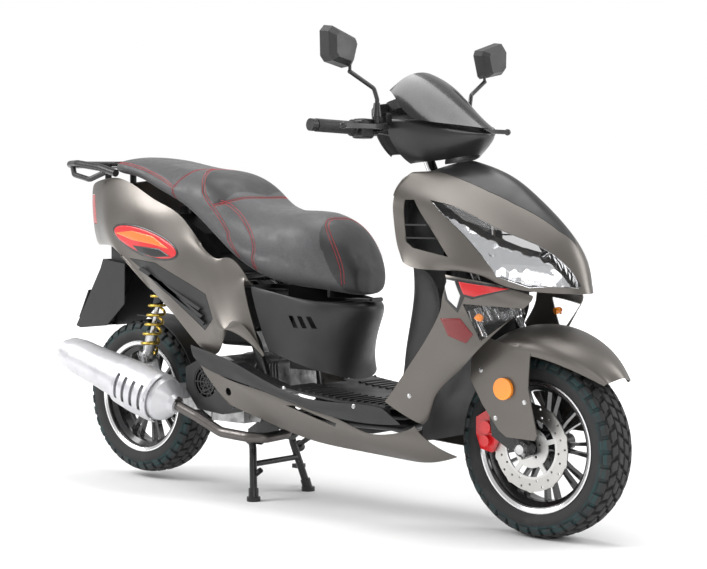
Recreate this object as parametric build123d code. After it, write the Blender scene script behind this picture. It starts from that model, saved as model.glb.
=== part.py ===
from build123d import *

# Petrol moped scooter, parked on its centre stand with the rear wheel just clear of the floor.
# Row frame in millimetres: +X forward, +Y to the rider's left, +Z up, and Z = 0 at the floor.
# The origin is at the bottom centre of the whole machine's box.
from math import cos, pi, radians, sin
import os

os.makedirs("parts", exist_ok=True)

# ---------------------------------------------------------------- driving dimensions
WHEELBASE = 1422
FRONT_X = 760                       # front axle
REAR_X = FRONT_X - WHEELBASE        # rear axle
TYRE_R = 228
TYRE_HALF = 60
RIM_R = 165                         # outer edge of the rim flange, a twelve inch rim
REAR_LIFT = 18                      # the stand holds the rear tyre this far off the floor
FRONT_Z = TYRE_R
REAR_Z = TYRE_R + REAR_LIFT
RAKE = 26                           # steering axis, degrees from vertical
AXLE_LEAD = 23.4                    # front axle ahead of the steering axis, square to it
LEG_Y = 88                          # fork leg centre from the middle plane
SWING_X, SWING_Z = -150, 222        # engine hanger pivot
STAND_X, STAND_Z = -175, 165        # centre stand pivot
STAND_FOOT_X, STAND_FOOT_Y = -136, 112
CRANK_X, CRANK_Z = -268, 325
SKIN = 3                            # wall of the moulded panels

UP = Vector(-sin(radians(RAKE)), 0, cos(radians(RAKE)))      # up the fork
AHEAD = Vector(cos(radians(RAKE)), 0, sin(radians(RAKE)))    # square to it, forward
FRONT_AXLE = Vector(FRONT_X, 0, FRONT_Z)
REAR_AXLE = Vector(REAR_X, 0, REAR_Z)
LEFT = Vector(0, 1, 0)


# ---------------------------------------------------------------- helpers
def vec(p):
    return p if isinstance(p, Vector) else Vector(*p)


def rod(a, b, r, bore=0.0):
    """Round bar, or tube if bore is given, from point a to point b."""
    a, b = vec(a), vec(b)
    plane = Plane(origin=a, z_dir=b - a)
    disc = Circle(r) - Circle(bore) if bore else Circle(r)
    return extrude(plane * disc, (b - a).length)


def cone(a, b, r_a, r_b):
    """Tapered round bar from point a to point b."""
    a, b = vec(a), vec(b)
    plane = Plane(origin=a, z_dir=b - a)
    return loft([plane * Circle(r_a), plane.offset((b - a).length) * Circle(r_b)])


def box(low, high):
    low, high = vec(low), vec(high)
    size = high - low
    return Pos(*((low + high) * 0.5)) * Box(*size)


def pipe(points, r, wall=0.0, radius=30):
    """Tube bent through the points, with the given bend radius or radii."""
    path = FilletPolyline(*points, radius=radius) if len(points) > 2 else Line(*points)
    plane = Plane(origin=path @ 0, z_dir=path % 0)
    disc = Circle(r) - Circle(r - wall) if wall else Circle(r)
    return sweep(plane * disc, path)


def lathe(profile, centre):
    """Solid of revolution about a line along Y; the profile is a list of (radius, y)."""
    face = make_face(Polyline(*[(r, y, 0) for r, y in profile], close=True))
    turned = revolve(face, Axis.Y, 360)
    return Pos(*centre) * turned


def prism(outline, y_low, y_high):
    """Outline given as (x, z), standing between two values of y."""
    wire = Polyline(*[(x, y_low, z) for x, z in outline], close=True)
    return extrude(make_face(wire), y_high - y_low, dir=(0, 1, 0))


def slab(outline, z_low, z_high):
    """Outline given as (x, y), standing between two values of z."""
    wire = Polyline(*[(x, y, z_low) for x, y in outline], close=True)
    return extrude(make_face(wire), z_high - z_low, dir=(0, 0, 1))


def skin(rows, wall=SKIN):
    """Moulded panel: a smooth surface through rows of points, given a wall."""
    points = [[vec(p) for p in row] for row in rows]
    face = Face.make_surface_from_array_of_points(points, tol=0.5)
    return Solid.thicken(face, wall)


def both_ways(row):
    """A row from the right-hand edge to the middle plane, completed on the left."""
    return list(row) + [(x, -y, z) for x, y, z in reversed(row[:-1])]


def mirrored(shape):
    return shape.mirror(Plane.XZ)


def pair(shape):
    return [shape, mirrored(shape)]


def solids_of(items):
    found = []
    for item in items:
        found += solids_of(item) if isinstance(item, (list, tuple)) else item.solids()
    return found


def save(name, *items):
    """Writes one node; each item may be a shape or a list of shapes."""
    export_step(Compound(children=solids_of(items)), f"parts/{name}.step")


def on_axis(s, y=0.0, ahead=0.0):
    """Point a distance s up the fork from the axle's height, on the steering axis plane."""
    return FRONT_AXLE + UP * s + AHEAD * (ahead - AXLE_LEAD) + LEFT * y


def on_leg(s, side):
    return FRONT_AXLE + UP * s + LEFT * (side * LEG_Y)


# ---------------------------------------------------------------- wheels
HUB_R = 34
SPOKE_PAIRS = 9
AXLE_R = 7.5
AXLE_BORE_R = 7.55


def tyre(centre):
    outer = [(155, 46), (165.5, 46.5), (173, 55), (195, TYRE_HALF), (214, 55),
             (224, 42), (TYRE_R, 15)]
    inner = [(219, 12), (215, 36), (207, 46), (194, 51), (175, 46), (163, 38), (155, 37)]
    half = outer + [(r, -y) for r, y in reversed(outer)]
    back = [(r, -y) for r, y in reversed(inner)] + inner
    return lathe(half + back, centre)


def rim(centre, disc_side_hub=58):
    outer = [(RIM_R, 50), (RIM_R, 47.5), (154.5, 46.5), (154.5, 36), (142, 26), (140, 14)]
    inner = [(136, 14), (138, 23), (150, 34), (150, 45), (161, 50)]
    right = [(r, -y) for r, y in reversed(outer)] + [(r, -y) for r, y in reversed(inner)]
    barrel = lathe(outer + right + inner, centre)
    hub = rod(centre - LEFT * disc_side_hub, centre + LEFT * 45, HUB_R, AXLE_BORE_R)
    wheel = barrel + hub
    spread = 13                     # degrees between the two spokes of a pair
    for n in range(SPOKE_PAIRS):
        for side in (-0.5, 0.5):
            turn = 360 / SPOKE_PAIRS * n + side * spread
            foot = Polyline((HUB_R - 3, -7, 0), (90, -3.5, 0), (138, -5, 0), (138, 5, 0),
                            (90, 3.5, 0), (HUB_R - 3, 7, 0), close=True)
            spoke = extrude(make_face(foot), 9, both=True)
            spoke = Rot(0, turn, 0) * (Rot(90, 0, 0) * spoke)
            wheel = wheel + Pos(*centre) * spoke
    return wheel


def rear_wheel():
    """Rear rim with the gearbox's output shaft through its hub."""
    shaft = rod(REAR_AXLE - LEFT * 92, REAR_AXLE + LEFT * 84, 8.5)
    nut = rod(REAR_AXLE - LEFT * 104, REAR_AXLE - LEFT * 92, 14)
    return rim(REAR_AXLE, disc_side_hub=45) + shaft + nut


DISC_R = 111
DISC_Y = -64                        # outer face of the brake disc
DISC_WALL = 4


def brake_disc():
    """Wavy floating disc with rows of drilled holes, on a five-armed carrier."""
    waves = 10
    face_plane = Plane(origin=(FRONT_X, DISC_Y, FRONT_Z), z_dir=(0, 1, 0))
    ring = Circle(DISC_R - 3) - Circle(72)
    for n in range(waves):
        ring += PolarLocations(DISC_R - 14, 1, start_angle=360 / waves * n) * Circle(14)
    for r in (82, 91, 100):
        ring -= PolarLocations(r, waves, start_angle=r * 1.6) * Circle(3)
    blade = extrude(face_plane * ring, DISC_WALL)
    carrier = Circle(50) - Circle(AXLE_R + 12)
    for n in range(5):
        carrier += Rot(0, 0, 72 * n) * (Pos(60, 0) * Rectangle(26, 12))
    carrier -= PolarLocations(27, 5) * Circle(3.2)
    arms = extrude(face_plane * (carrier & Circle(71.6)), DISC_WALL)
    return [blade, arms]


save("front_tyre", tyre(FRONT_AXLE))
save("rear_tyre", tyre(REAR_AXLE))
save("front_rim", rim(FRONT_AXLE))
save("rear_rim", rear_wheel())
save("front_brake_disc", brake_disc())


# ---------------------------------------------------------------- front fork and steering
STEM_R = 15
SLIDER_R = 17
STANCHION_R = 13
CROWN_S = 352                       # distance of the fork crown up the fork from the axle
SLIDER_TOP_S = 215
HEAD_LOW_S, HEAD_HIGH_S = 505, 700
HEAD_R, HEAD_BORE_R = 26, 22
BAR_S = 862


def fork_yoke():
    """Crown, steering stem and the two tubes that slide in the lower legs."""
    tubes = []
    for side in (-1, 1):
        tubes.append(rod(on_leg(60, side), on_leg(CROWN_S + 14, side), STANCHION_R))
    crown = rod(on_axis(CROWN_S - 14), on_axis(CROWN_S + 14), 30)
    for side in (-1, 1):
        crown += rod(on_leg(CROWN_S - 14, side), on_leg(CROWN_S + 14, side), 22)
        bridge = Plane(origin=on_axis(CROWN_S), x_dir=LEFT, z_dir=UP)
        crown += extrude(bridge * (Pos(side * LEG_Y / 2, AXLE_LEAD / 2) * Rectangle(LEG_Y, 40)), 12,
                         both=True)
    stem = rod(on_axis(CROWN_S), on_axis(BAR_S - 16), STEM_R)
    lower_race = rod(on_axis(HEAD_LOW_S - 12), on_axis(HEAD_LOW_S - 0.3), HEAD_R)
    upper_race = rod(on_axis(HEAD_HIGH_S + 0.3), on_axis(HEAD_HIGH_S + 12), HEAD_R)
    return crown + tubes + stem + lower_race + upper_race


def fork_sliders():
    """Lower legs, bored for the tubes, with lugs for the axle."""
    legs = []
    for side in (-1, 1):
        leg = rod(on_leg(-22, side), on_leg(SLIDER_TOP_S, side), SLIDER_R)
        leg += rod(FRONT_AXLE + LEFT * (side * 72), FRONT_AXLE + LEFT * (side * 104), 19)
        leg -= rod(on_leg(12, side), on_leg(SLIDER_TOP_S + 1, side), STANCHION_R + 0.06)
        leg -= rod(FRONT_AXLE - LEFT * 110, FRONT_AXLE + LEFT * 110, AXLE_BORE_R)
        legs.append(leg)
    lug = prism([(652, 300), (690, 322), (728, 300), (742, 250), (718, 218), (660, 250)], -88, -78)
    legs[0] += lug - rod(on_leg(12, -1), on_leg(SLIDER_TOP_S + 1, -1), STANCHION_R + 0.06)
    return legs


def front_axle():
    shaft = rod(FRONT_AXLE - LEFT * 112, FRONT_AXLE + LEFT * 112, AXLE_R)
    nuts = [rod(FRONT_AXLE + LEFT * (side * 104.2), FRONT_AXLE + LEFT * (side * 112), 12)
            for side in (-1, 1)]
    spacers = [rod(FRONT_AXLE + LEFT * (side * low), FRONT_AXLE + LEFT * (side * 70.9), 11,
                   AXLE_BORE_R) for side, low in ((-1, 58.6), (1, 45.6))]
    return [shaft + nuts, spacers]


def caliper():
    """Two-piston caliper straddling the disc behind the leg."""
    body = prism([(604, 292), (640, 314), (668, 296), (676, 250), (652, 208), (618, 214), (604, 250)],
                 -78, -53)
    slot = rod(FRONT_AXLE + LEFT * (DISC_Y - 2.5), FRONT_AXLE + LEFT * (DISC_Y + DISC_WALL + 2.5),
               DISC_R + 6)
    body -= slot
    pistons = rod((640, -90, 270), (640, -78, 270), 16) + rod((637, -90, 236), (637, -78, 236), 14)
    return body + pistons


FENDER_R = 297


def fender_row(angle, radius, lip, half):
    """Cross-section of the front mudguard at an angle ahead of straight up."""
    turn = radians(angle)

    def place(r, y):
        return (FRONT_X + r * sin(turn), y, FRONT_Z + r * cos(turn))
    return both_ways([place(lip, -half), place(lip + 0.4 * (radius - lip), -half + 3),
                      place(radius - 11, -half * 0.62), place(radius, 0)])


def front_fender():
    guard = skin([fender_row(51, 289, 262, 54), fender_row(38, 294, 246, 84),
                  fender_row(22, FENDER_R, 236, 106), fender_row(6, FENDER_R + 3, 232, 112),
                  fender_row(-10, FENDER_R, 232, 112), fender_row(-24, 288, 232, 110),
                  fender_row(-34, 280, 238, 104)])
    cheek = prism([(616, 440), (612, 392), (650, 330), (700, 270), (722, 256), (806, 254),
                   (812, 270), (786, 380), (792, 470), (640, 500)], -114, -110.6)
    shell = guard + pair(cheek)
    for side in (-1, 1):
        shell -= rod(on_leg(SLIDER_TOP_S + 1, side), on_leg(400, side), SLIDER_R + 5)
    bosses = []
    for s in (120, 190):
        boss = rod(on_leg(s, -1) - LEFT * (SLIDER_R - 2), on_leg(s, -1) - LEFT * 22.6, 7)
        boss -= rod(on_leg(0, -1), on_leg(SLIDER_TOP_S, -1), SLIDER_R + 0.02)
        bosses += pair(boss)
    return [shell, bosses]


def fender_reflectors():
    centre = Vector(716, -114.2, 374)
    puck = rod(centre, centre - LEFT * 9, 27)
    return pair(puck)


save("fork_yoke", fork_yoke())
save("fork_sliders", fork_sliders(), front_axle())
save("brake_caliper", caliper())
save("front_fender", front_fender())
save("fender_reflectors", fender_reflectors())


# ---------------------------------------------------------------- handlebar and what it carries
BAR_R = 11
BAR_BEND_Y = 150
GRIP_IN_Y, GRIP_OUT_Y = 238, 357


def bar_point(y):
    """Point on the handlebar's centre line outboard of the bend, right side for negative y."""
    along = (abs(y) - BAR_BEND_Y) / (GRIP_OUT_Y - BAR_BEND_Y)
    return Vector(352 - 36 * along, y, 1010 + 8 * along)


BAR_OUT = (bar_point(-GRIP_OUT_Y) - bar_point(-BAR_BEND_Y)).normalized()   # along the right bar


def along_bar(y, r, length, bore=0.0, side=-1):
    """Collar on the right bar from y outwards, or on the left with side = 1."""
    start = bar_point(-abs(y))
    collar = rod(start, start + BAR_OUT * length, r, bore)
    return collar if side < 0 else mirrored(collar)


def handlebar():
    clamp = on_axis(BAR_S)
    bend = bar_point(-BAR_BEND_Y)
    centre = [(clamp.X + 4, -40, clamp.Z + 2), (clamp.X + 4, 40, clamp.Z + 2)]
    end = bar_point(-GRIP_OUT_Y + 4)
    left_end = Vector(end.X, -end.Y, end.Z)
    tube = pipe([end, bend, centre[0], centre[1], (bend.X, -bend.Y, bend.Z), left_end],
                BAR_R, radius=22)
    tube += [bar_end(-1), bar_end(1)]
    boss = rod(on_axis(BAR_S - 15.8), on_axis(BAR_S + 6), 20) - tube
    return [tube, boss]


def grip(side, bore):
    body = along_bar(GRIP_IN_Y, 16.5, GRIP_OUT_Y - GRIP_IN_Y, bore, side)
    flange = along_bar(GRIP_IN_Y + 1, 21, 5, bore, side)
    return body + flange


def bar_end(side):
    """Weight on the end of the bar."""
    start = bar_point(-GRIP_OUT_Y)
    plug = rod(start, start + BAR_OUT * 17, 15.5) + rod(start - BAR_OUT * 6, start, BAR_R)
    return plug if side < 0 else mirrored(plug)


def switch_pod(side):
    """Moulded switch housing clamped round the bar, hollowed for its buttons."""
    start = bar_point(-186)
    plane = Plane(origin=start, x_dir=(1, 0, 0), z_dir=BAR_OUT)
    shape = fillet((plane * Box(46, 50, 42, align=(Align.CENTER, Align.CENTER, Align.MIN))).edges(), 8)
    shape -= rod(start - BAR_OUT * 5, start + BAR_OUT * 60, BAR_R + 0.05)
    shape -= button_seat(0)
    if side > 0:
        shape -= button_seat(1)
        for shift in (-SWITCH_SLIDE, SWITCH_SLIDE):
            shape -= Pos(*(BAR_OUT * shift)) * button_seat(0)
    return shape if side < 0 else mirrored(shape)


BUTTON_R = 6.2
SWITCH_SLIDE = 3                    # travel of the turn switch each way along the bar
BUTTON_SPOTS = ((12, 10), (30, -10))    # outward and upward places on the pod's rear face


def button_axis(n):
    """Base point of button n on the right pod's rear face, and the way it is pressed."""
    out, up = BUTTON_SPOTS[n]
    return bar_point(-186) + BAR_OUT * out + Vector(-23, 0, up), Vector(1, 0, 0)


def button_seat(n):
    base, inward = button_axis(n)
    return rod(base - inward * 2, base + inward * 8.5, BUTTON_R + 0.35)


def button(n, side):
    base, inward = button_axis(n)
    cap = rod(base - inward * 3.5, base + inward * 4, BUTTON_R)
    return cap if side < 0 else mirrored(cap)


LEVER_PIVOT_X, LEVER_PIVOT_Y, LEVER_PIVOT_Z = 386, 176, 1016
LEVER_PIN_R = 4
MIRROR_BASE = Vector(376, -193, 1042)
MIRROR_JOINT = Vector(361, -279, 1171)
MIRROR_PIN_R = 4


def lever_bracket(side):
    """Perch on the bar with a fork for the lever and the lever's pin."""
    collar = along_bar(168, 17, 14, BAR_R + 0.05)
    ear = [(361, -172), (361, -184), (392, -186), (396, -176), (390, -166)]
    mirror_ear = ear[:2] + [(370, -186), (370, -200), (383, -201)] + ear[2:]
    ears = [slab(ear, LEVER_PIVOT_Z - 10, LEVER_PIVOT_Z - 6.2),
            slab(mirror_ear, LEVER_PIVOT_Z + 6.2, LEVER_PIVOT_Z + 10),
            rod((MIRROR_BASE.X, MIRROR_BASE.Y, LEVER_PIVOT_Z + 8), MIRROR_BASE - Vector(0, 0, 0.3), 7)]
    arm = box((352, -181, LEVER_PIVOT_Z - 10), (368, -169, LEVER_PIVOT_Z + 10))
    arm -= along_bar(150, BAR_R + 0.05, 60)
    collar -= along_bar(150, BAR_R + 0.05, 60)
    pin = rod((LEVER_PIVOT_X, -LEVER_PIVOT_Y, LEVER_PIVOT_Z - 11),
              (LEVER_PIVOT_X, -LEVER_PIVOT_Y, LEVER_PIVOT_Z + 11), LEVER_PIN_R)
    perch = collar + arm
    for ear in ears:
        perch += ear
    perch += pin
    return perch if side < 0 else mirrored(perch)


def brake_lever(side):
    outline = [(378, -170), (394, -168), (400, -184), (404, -230), (402, -290), (399, -338),
               (388, -338), (390, -290), (391, -232), (384, -196), (377, -184)]
    blade = slab(outline, LEVER_PIVOT_Z - 5.8, LEVER_PIVOT_Z + 5.8)
    ball = Pos(393, -342, LEVER_PIVOT_Z) * Sphere(9)
    blade = blade + ball
    blade -= rod((LEVER_PIVOT_X, -LEVER_PIVOT_Y, LEVER_PIVOT_Z - 12),
                 (LEVER_PIVOT_X, -LEVER_PIVOT_Y, LEVER_PIVOT_Z + 12), LEVER_PIN_R + 0.05)
    return blade if side < 0 else mirrored(blade)


def master_cylinder():
    """Brake fluid reservoir beside the right bar."""
    body = box((364, -176, LEVER_PIVOT_Z + 10), (392, -153, 1046))
    lid = box((362, -177, 1046), (394, -151, 1052))
    return body + lid


def mirror_stem(side):
    """Bent stem with an upright pin at its end, on which the head turns."""
    end = MIRROR_JOINT - Vector(0, 0, 20)
    stem = pipe([MIRROR_BASE, (377, -193, 1085), (374, -202, 1112), end], 5.5, radius=14)
    stem += Pos(*end) * Sphere(6) + rod(end, MIRROR_JOINT + Vector(0, 0, 5), MIRROR_PIN_R)
    boot = cone(MIRROR_BASE, MIRROR_BASE + Vector(0, 0, 34), 13, 8)
    return stem + boot if side < 0 else mirrored(stem + boot)


MIRROR_FACE = [(-368, 1247), (-352, 1262), (-262, 1236), (-256, 1222), (-275, 1166), (-286, 1160),
               (-352, 1172), (-366, 1186)]


def mirror_outline(shrink):
    """Mirror outline as (y, z), drawn in from the edge by the given amount."""
    mid_y = sum(y for y, _ in MIRROR_FACE) / len(MIRROR_FACE)
    mid_z = sum(z for _, z in MIRROR_FACE) / len(MIRROR_FACE)
    half = 50
    return [(mid_y + (y - mid_y) * (1 - shrink / half), mid_z + (z - mid_z) * (1 - shrink / half))
            for y, z in MIRROR_FACE]


def mirror_plate(shrink, x_low, x_high):
    wire = Polyline(*[(x_low, y, z) for y, z in mirror_outline(shrink)], close=True)
    return extrude(make_face(wire), x_high - x_low, dir=(1, 0, 0))


def mirror_head(side):
    """Housing facing back at the rider; the glass sits in its recess."""
    back = loft([make_face(Polyline(*[(x, y, z) for y, z in mirror_outline(shrink)], close=True))
                 for x, shrink in ((340, 0), (366, 3), (382, 16))], ruled=True)
    shell = back - mirror_plate(4, 330, 344)
    shell -= rod(MIRROR_JOINT - Vector(0, 0, 20), MIRROR_JOINT + Vector(0, 0, 5.5), MIRROR_PIN_R + 0.05)
    return shell if side < 0 else mirrored(shell)


def mirror_glass(side):
    pane = mirror_plate(5, 340.6, 344)
    return pane if side < 0 else mirrored(pane)


save("handlebar", handlebar())
save("grip_throttle", grip(-1, BAR_R + 0.06))
save("grip_left", grip(1, BAR_R))
save("switch_pods", [switch_pod(-1), switch_pod(1)])
save("starter_button", button(0, -1))
save("turn_switch", button(0, 1))
save("horn_button", button(1, 1))
save("lever_perches", [lever_bracket(-1), lever_bracket(1), master_cylinder()])
save("brake_lever_right", brake_lever(-1))
save("brake_lever_left", brake_lever(1))
save("mirror_stem_right", mirror_stem(-1))
save("mirror_stem_left", mirror_stem(1))
save("mirror_head_right", mirror_head(-1), mirror_glass(-1))
save("mirror_head_left", mirror_head(1), mirror_glass(1))


# ---------------------------------------------------------------- headset cover and screen
def headset_cover():
    """Front and rear shells of the handlebar cover; the bar passes out between them."""
    front = skin([both_ways([(388, -72, 925), (445, -76, 930), (508, -52, 938), (547, 0, 947)]),
                  both_ways([(372, -122, 972), (440, -118, 975), (525, -78, 985), (588, 0, 998)]),
                  both_ways([(373, -146, 1008), (432, -130, 1014), (510, -84, 1010), (564, 0, 1008)]),
                  both_ways([(374, -138, 1038), (425, -116, 1036), (470, -74, 1034), (500, 0, 1028)])])
    rear = skin([both_ways([(332, -80, 945), (318, -62, 948), (308, -35, 951), (304, 0, 952)]),
                 both_ways([(328, -122, 985), (302, -98, 996), (284, -55, 1003), (278, 0, 1006)]),
                 both_ways([(326, -146, 1050), (304, -120, 1068), (286, -65, 1080), (276, 0, 1084)])])
    return [front, rear]


def windscreen():
    """Smoked screen, swept back over the instruments."""
    rows = [both_ways([(440, -134, 1030), (500, -95, 1018), (552, -48, 1010), (588, 0, 1004)]),
            both_ways([(408, -138, 1058), (455, -102, 1058), (494, -54, 1056), (520, 0, 1054)]),
            both_ways([(382, -132, 1084), (414, -98, 1098), (440, -52, 1106), (452, 0, 1109)]),
            both_ways([(352, -118, 1104), (362, -82, 1132), (369, -42, 1149), (372, 0, 1154)])]
    return Pos(3, 0, 8) * skin(rows, 2.4)


def instrument_cluster():
    body = fillet(Box(86, 160, 26).edges().filter_by(Axis.Z), 30)
    window = extrude(Plane.XY.offset(11) * RectangleRounded(68, 140, 24), 4)
    return Pos(342, 0, 1078) * (Rot(0, -14, 0) * (body - window))


# ---------------------------------------------------------------- front body
def cutter(points, toward, depth=60, grow=0.0):
    """Prism through an outline of points in space, seen along the given direction."""
    points = [vec(p) for p in points]
    centre = sum(points, Vector()) * (1 / len(points))
    plane = Plane(origin=centre, z_dir=toward)
    flat = [plane.to_local_coords(p) for p in points]
    face = make_face(Polyline(*[(p.X, p.Y) for p in flat], close=True))
    if grow:
        face = offset(face, grow, kind=Kind.INTERSECTION)
    return plane * extrude(face, depth, both=True)


def piece(shell, tool):
    """The part of a moulded shell that lies inside a cutter."""
    return shell & tool


NOSE_ROWS = [
    [(462, -200, 695), (594, -202, 662), (705, -165, 643), (795, -105, 613), (887, 0, 607)],
    [(447, -205, 745), (570, -202, 722), (690, -170, 705), (800, -95, 690), (868, 0, 680)],
    [(440, -206, 800), (555, -190, 790), (655, -150, 772), (755, -85, 750), (828, 0, 748)],
    [(440, -198, 850), (510, -172, 845), (600, -130, 832), (680, -75, 825), (742, 0, 828)],
    [(446, -165, 889), (500, -130, 885), (565, -95, 878), (625, -55, 878), (672, 0, 880)],
    [(452, -130, 893), (470, -100, 905), (495, -65, 918), (520, -35, 928), (533, 0, 932)],
]
LAMP = [(530, -172, 832), (586, -145, 811), (693, -110, 758), (782, -76, 724), (819, -55, 696),
        (856, -32, 655), (870, -16, 622), (862, -16, 609), (785, -110, 620), (724, -160, 648),
        (719, -170, 670), (688, -182, 715), (648, -188, 759), (578, -185, 804)]
LAMP_FACING = Vector(0.62, -0.62, 0.48)
WING_VENT = [(469, -207, 834), (493, -207, 834), (518, -207, 803), (610, -207, 695),
             (503, -207, 715), (479, -207, 730)]
NOSE_V = [(440, -108, 905), (487, -100, 900), (639, -75, 830), (708, -58, 800), (812, -24, 748),
          (848, 0, 730)]
FLANK_ROWS = [
    [(598, -196, 650), (660, -187, 642), (711, -156, 630), (791, -103, 601)],
    [(601, -200, 620), (650, -192, 600), (710, -165, 582), (780, -122, 574)],
    [(590, -200, 580), (630, -192, 552), (668, -180, 525), (716, -160, 508)],
    [(575, -200, 541), (605, -194, 505), (635, -188, 470), (662, -178, 452)],
    [(540, -198, 490), (575, -192, 460), (605, -185, 435), (625, -172, 422)],
    [(507, -196, 449), (535, -190, 420), (560, -184, 398), (578, -170, 385)],
    [(455, -193, 386), (485, -188, 360), (515, -182, 335), (532, -168, 322)],
    [(402, -190, 326), (440, -186, 305), (480, -182, 287), (502, -165, 276)],
]
INDICATOR = [(645, -188, 582), (795, -150, 572), (690, -178, 492)]


def lamp_tool(grow=0.0):
    return cutter(LAMP, LAMP_FACING, 55, grow)


def nose_tool(grow=0.0):
    right = list(NOSE_V)
    outline = right + [(x, -y, z) for x, y, z in reversed(right[:-1])]
    flat = [(x, y - grow if y < 0 else y + grow) if y else (x + grow, y) for x, y, _ in outline]
    return slab(flat, 700, 960)


def indicator_tool(grow=0.0):
    return cutter(INDICATOR, Vector(0.45, -0.89, 0), 40, grow)


def front_panels():
    """The nose shell cut into cowl, centre panel and headlight lenses."""
    shell = skin([both_ways(row) for row in NOSE_ROWS])
    lenses = piece(shell, lamp_tool(-1.2))
    centre = piece(shell, nose_tool(-1.2))
    cowl = shell - lamp_tool() - mirrored(lamp_tool()) - nose_tool()
    vent = cutter(WING_VENT, Vector(0, 1, 0), 40)
    cowl -= vent
    cowl -= mirrored(vent)
    slats = []
    for z in (738, 770):
        slat = box((476, -206, z), (596, -196, z + 4))
        slats.append(slat & vent)
    return cowl, centre, pair(lenses), slats


def flank_panels():
    """Lower side of the nose running down the leg shield, with the indicator cut out."""
    shell = skin(FLANK_ROWS)
    lens = piece(shell, indicator_tool(-1.2))
    return shell - indicator_tool(), lens


def headlight_reflectors():
    """Bowl behind each lens, with the bulb in its middle."""
    shell = skin([both_ways(row) for row in NOSE_ROWS])
    inwards = LAMP_FACING * -34
    right_half = box((400, -260, 560), (900, -1.5, 900))
    bowl = (Pos(*inwards) * shell) & lamp_tool(-5) & right_half
    bulb = rod((668, -108, 690), (690, -130, 707), 9)
    return pair(bowl) + pair(bulb)


def leg_shield():
    rows = [[(441, -163, 880), (425, -120, 881), (400, -70, 882), (385, 0, 883)],
            [(437, -192, 825), (430, -130, 823), (400, -75, 821), (388, 0, 821)],
            [(446, -195, 746), (440, -135, 746), (405, -80, 746), (390, 0, 746)],
            [(468, -194, 700), (450, -135, 700), (405, -82, 700), (388, 0, 700)],
            [(540, -193, 652), (480, -140, 645), (410, -85, 640), (384, 0, 640)],
            [(570, -192, 600), (500, -140, 598), (410, -85, 596), (380, 0, 596)],
            [(556, -192, 516), (500, -140, 514), (400, -88, 512), (363, 0, 512)],
            [(494, -189, 418), (460, -140, 416), (385, -92, 414), (350, 0, 414)],
            [(398, -184, 338), (395, -140, 338), (370, -95, 338), (345, 0, 338)]]
    shell = skin([both_ways(row) for row in rows])
    hook = pipe([(388, 0, 590), (362, 0, 586), (352, 0, 572), (362, 0, 560)], 4, radius=6)
    return [shell, hook]


def indicator_bulb():
    return rod((676, -160, 548), (682, -172, 550), 9)


def ignition_lock():
    """Barrel on the leg shield with the key standing in it."""
    key = rod((412, -112, 800), (400, -112, 800), 9)
    blade = box((378, -113.2, 790), (400, -110.8, 810))
    return key + blade


# ---------------------------------------------------------------- floor
FLOOR_TOP = [(-300, 416), (-214, 394), (-126, 388), (-83, 368), (28, 338), (140, 324), (250, 315),
             (398, 312)]
FLOOR_WALL = 5


def floorboard():
    """Floor with its tread ribs, running back as a step beside the engine."""
    under = [(x, z - FLOOR_WALL) for x, z in reversed(FLOOR_TOP)]
    deck = prism(FLOOR_TOP + under, -188, 188)
    deck -= box((-400, -146, 200), (40, 146, 600))
    deck -= box((-400, -168, 200), (-150, 168, 600))
    deck -= box((30, -60, 200), (60, 60, 600))
    ribs = []
    for x in range(90, 380, 24):
        for side in (-1, 1):
            low, high = sorted((side * 70, side * 172))
            ribs.append(box((x, low, 300), (x + 9, high, 345)))
    tread = prism([(x, z + 4) for x, z in FLOOR_TOP] + [(x, z) for x, z in reversed(FLOOR_TOP)],
                  -172, 172)
    for rib in ribs:
        deck += tread & rib
    trim_rows = [[(-303, -187, 428), (-170, -190, 400), (-83, -191, 373), (28, -191, 335), (250, -191, 310),
                  (392, -190, 306)],
                 [(-295, -190, 408), (-170, -193, 374), (-60, -194, 342), (60, -194, 310),
                  (270, -194, 286), (430, -191, 286)],
                 [(-284, -188, 392), (-170, -190, 350), (-40, -191, 326), (60, -191, 304),
                  (260, -191, 270), (452, -189, 271)]]
    trim = skin(trim_rows, 2.5)
    return [deck, pair(trim)]


BELLY_ROWS = [
    [(-278, -180, 385), (-170, -182, 344), (11, -186, 312), (250, -186, 264), (337, -186, 240),
     (421, -184, 244), (486, -176, 268)],
    [(-232, -178, 330), (-130, -178, 300), (30, -180, 262), (200, -178, 234), (330, -176, 214),
     (440, -176, 208), (540, -172, 228)],
    [(-170, -168, 272), (-100, -164, 252), (73, -148, 206), (220, -145, 188), (365, -142, 180),
     (480, -145, 176), (600, -150, 200)],
]


def belly_panels():
    shell = skin(BELLY_ROWS)
    shell -= rod((-165, -200, 307), (-165, -150, 307), 11)
    scoop = cutter([(60, -186, 288), (86, -186, 290), (237, -186, 255), (232, -186, 246)],
                   Vector(0, 1, 0), 40)
    return pair(shell - scoop)


def front_vents():
    """Inner guard in front of the leg shield, between the aprons and the front wheel."""
    rows = [both_ways([(602, -160, 436), (562, -110, 444), (542, -60, 448), (536, 0, 448)]),
            both_ways([(545, -160, 372), (518, -110, 376), (504, -60, 378), (500, 0, 378)]),
            both_ways([(505, -158, 300), (492, -110, 300), (484, -60, 300), (482, 0, 300)]),
            both_ways([(492, -156, 230), (480, -110, 226), (472, -60, 224), (470, 0, 224)])]
    return skin(rows, 2.5)


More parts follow.
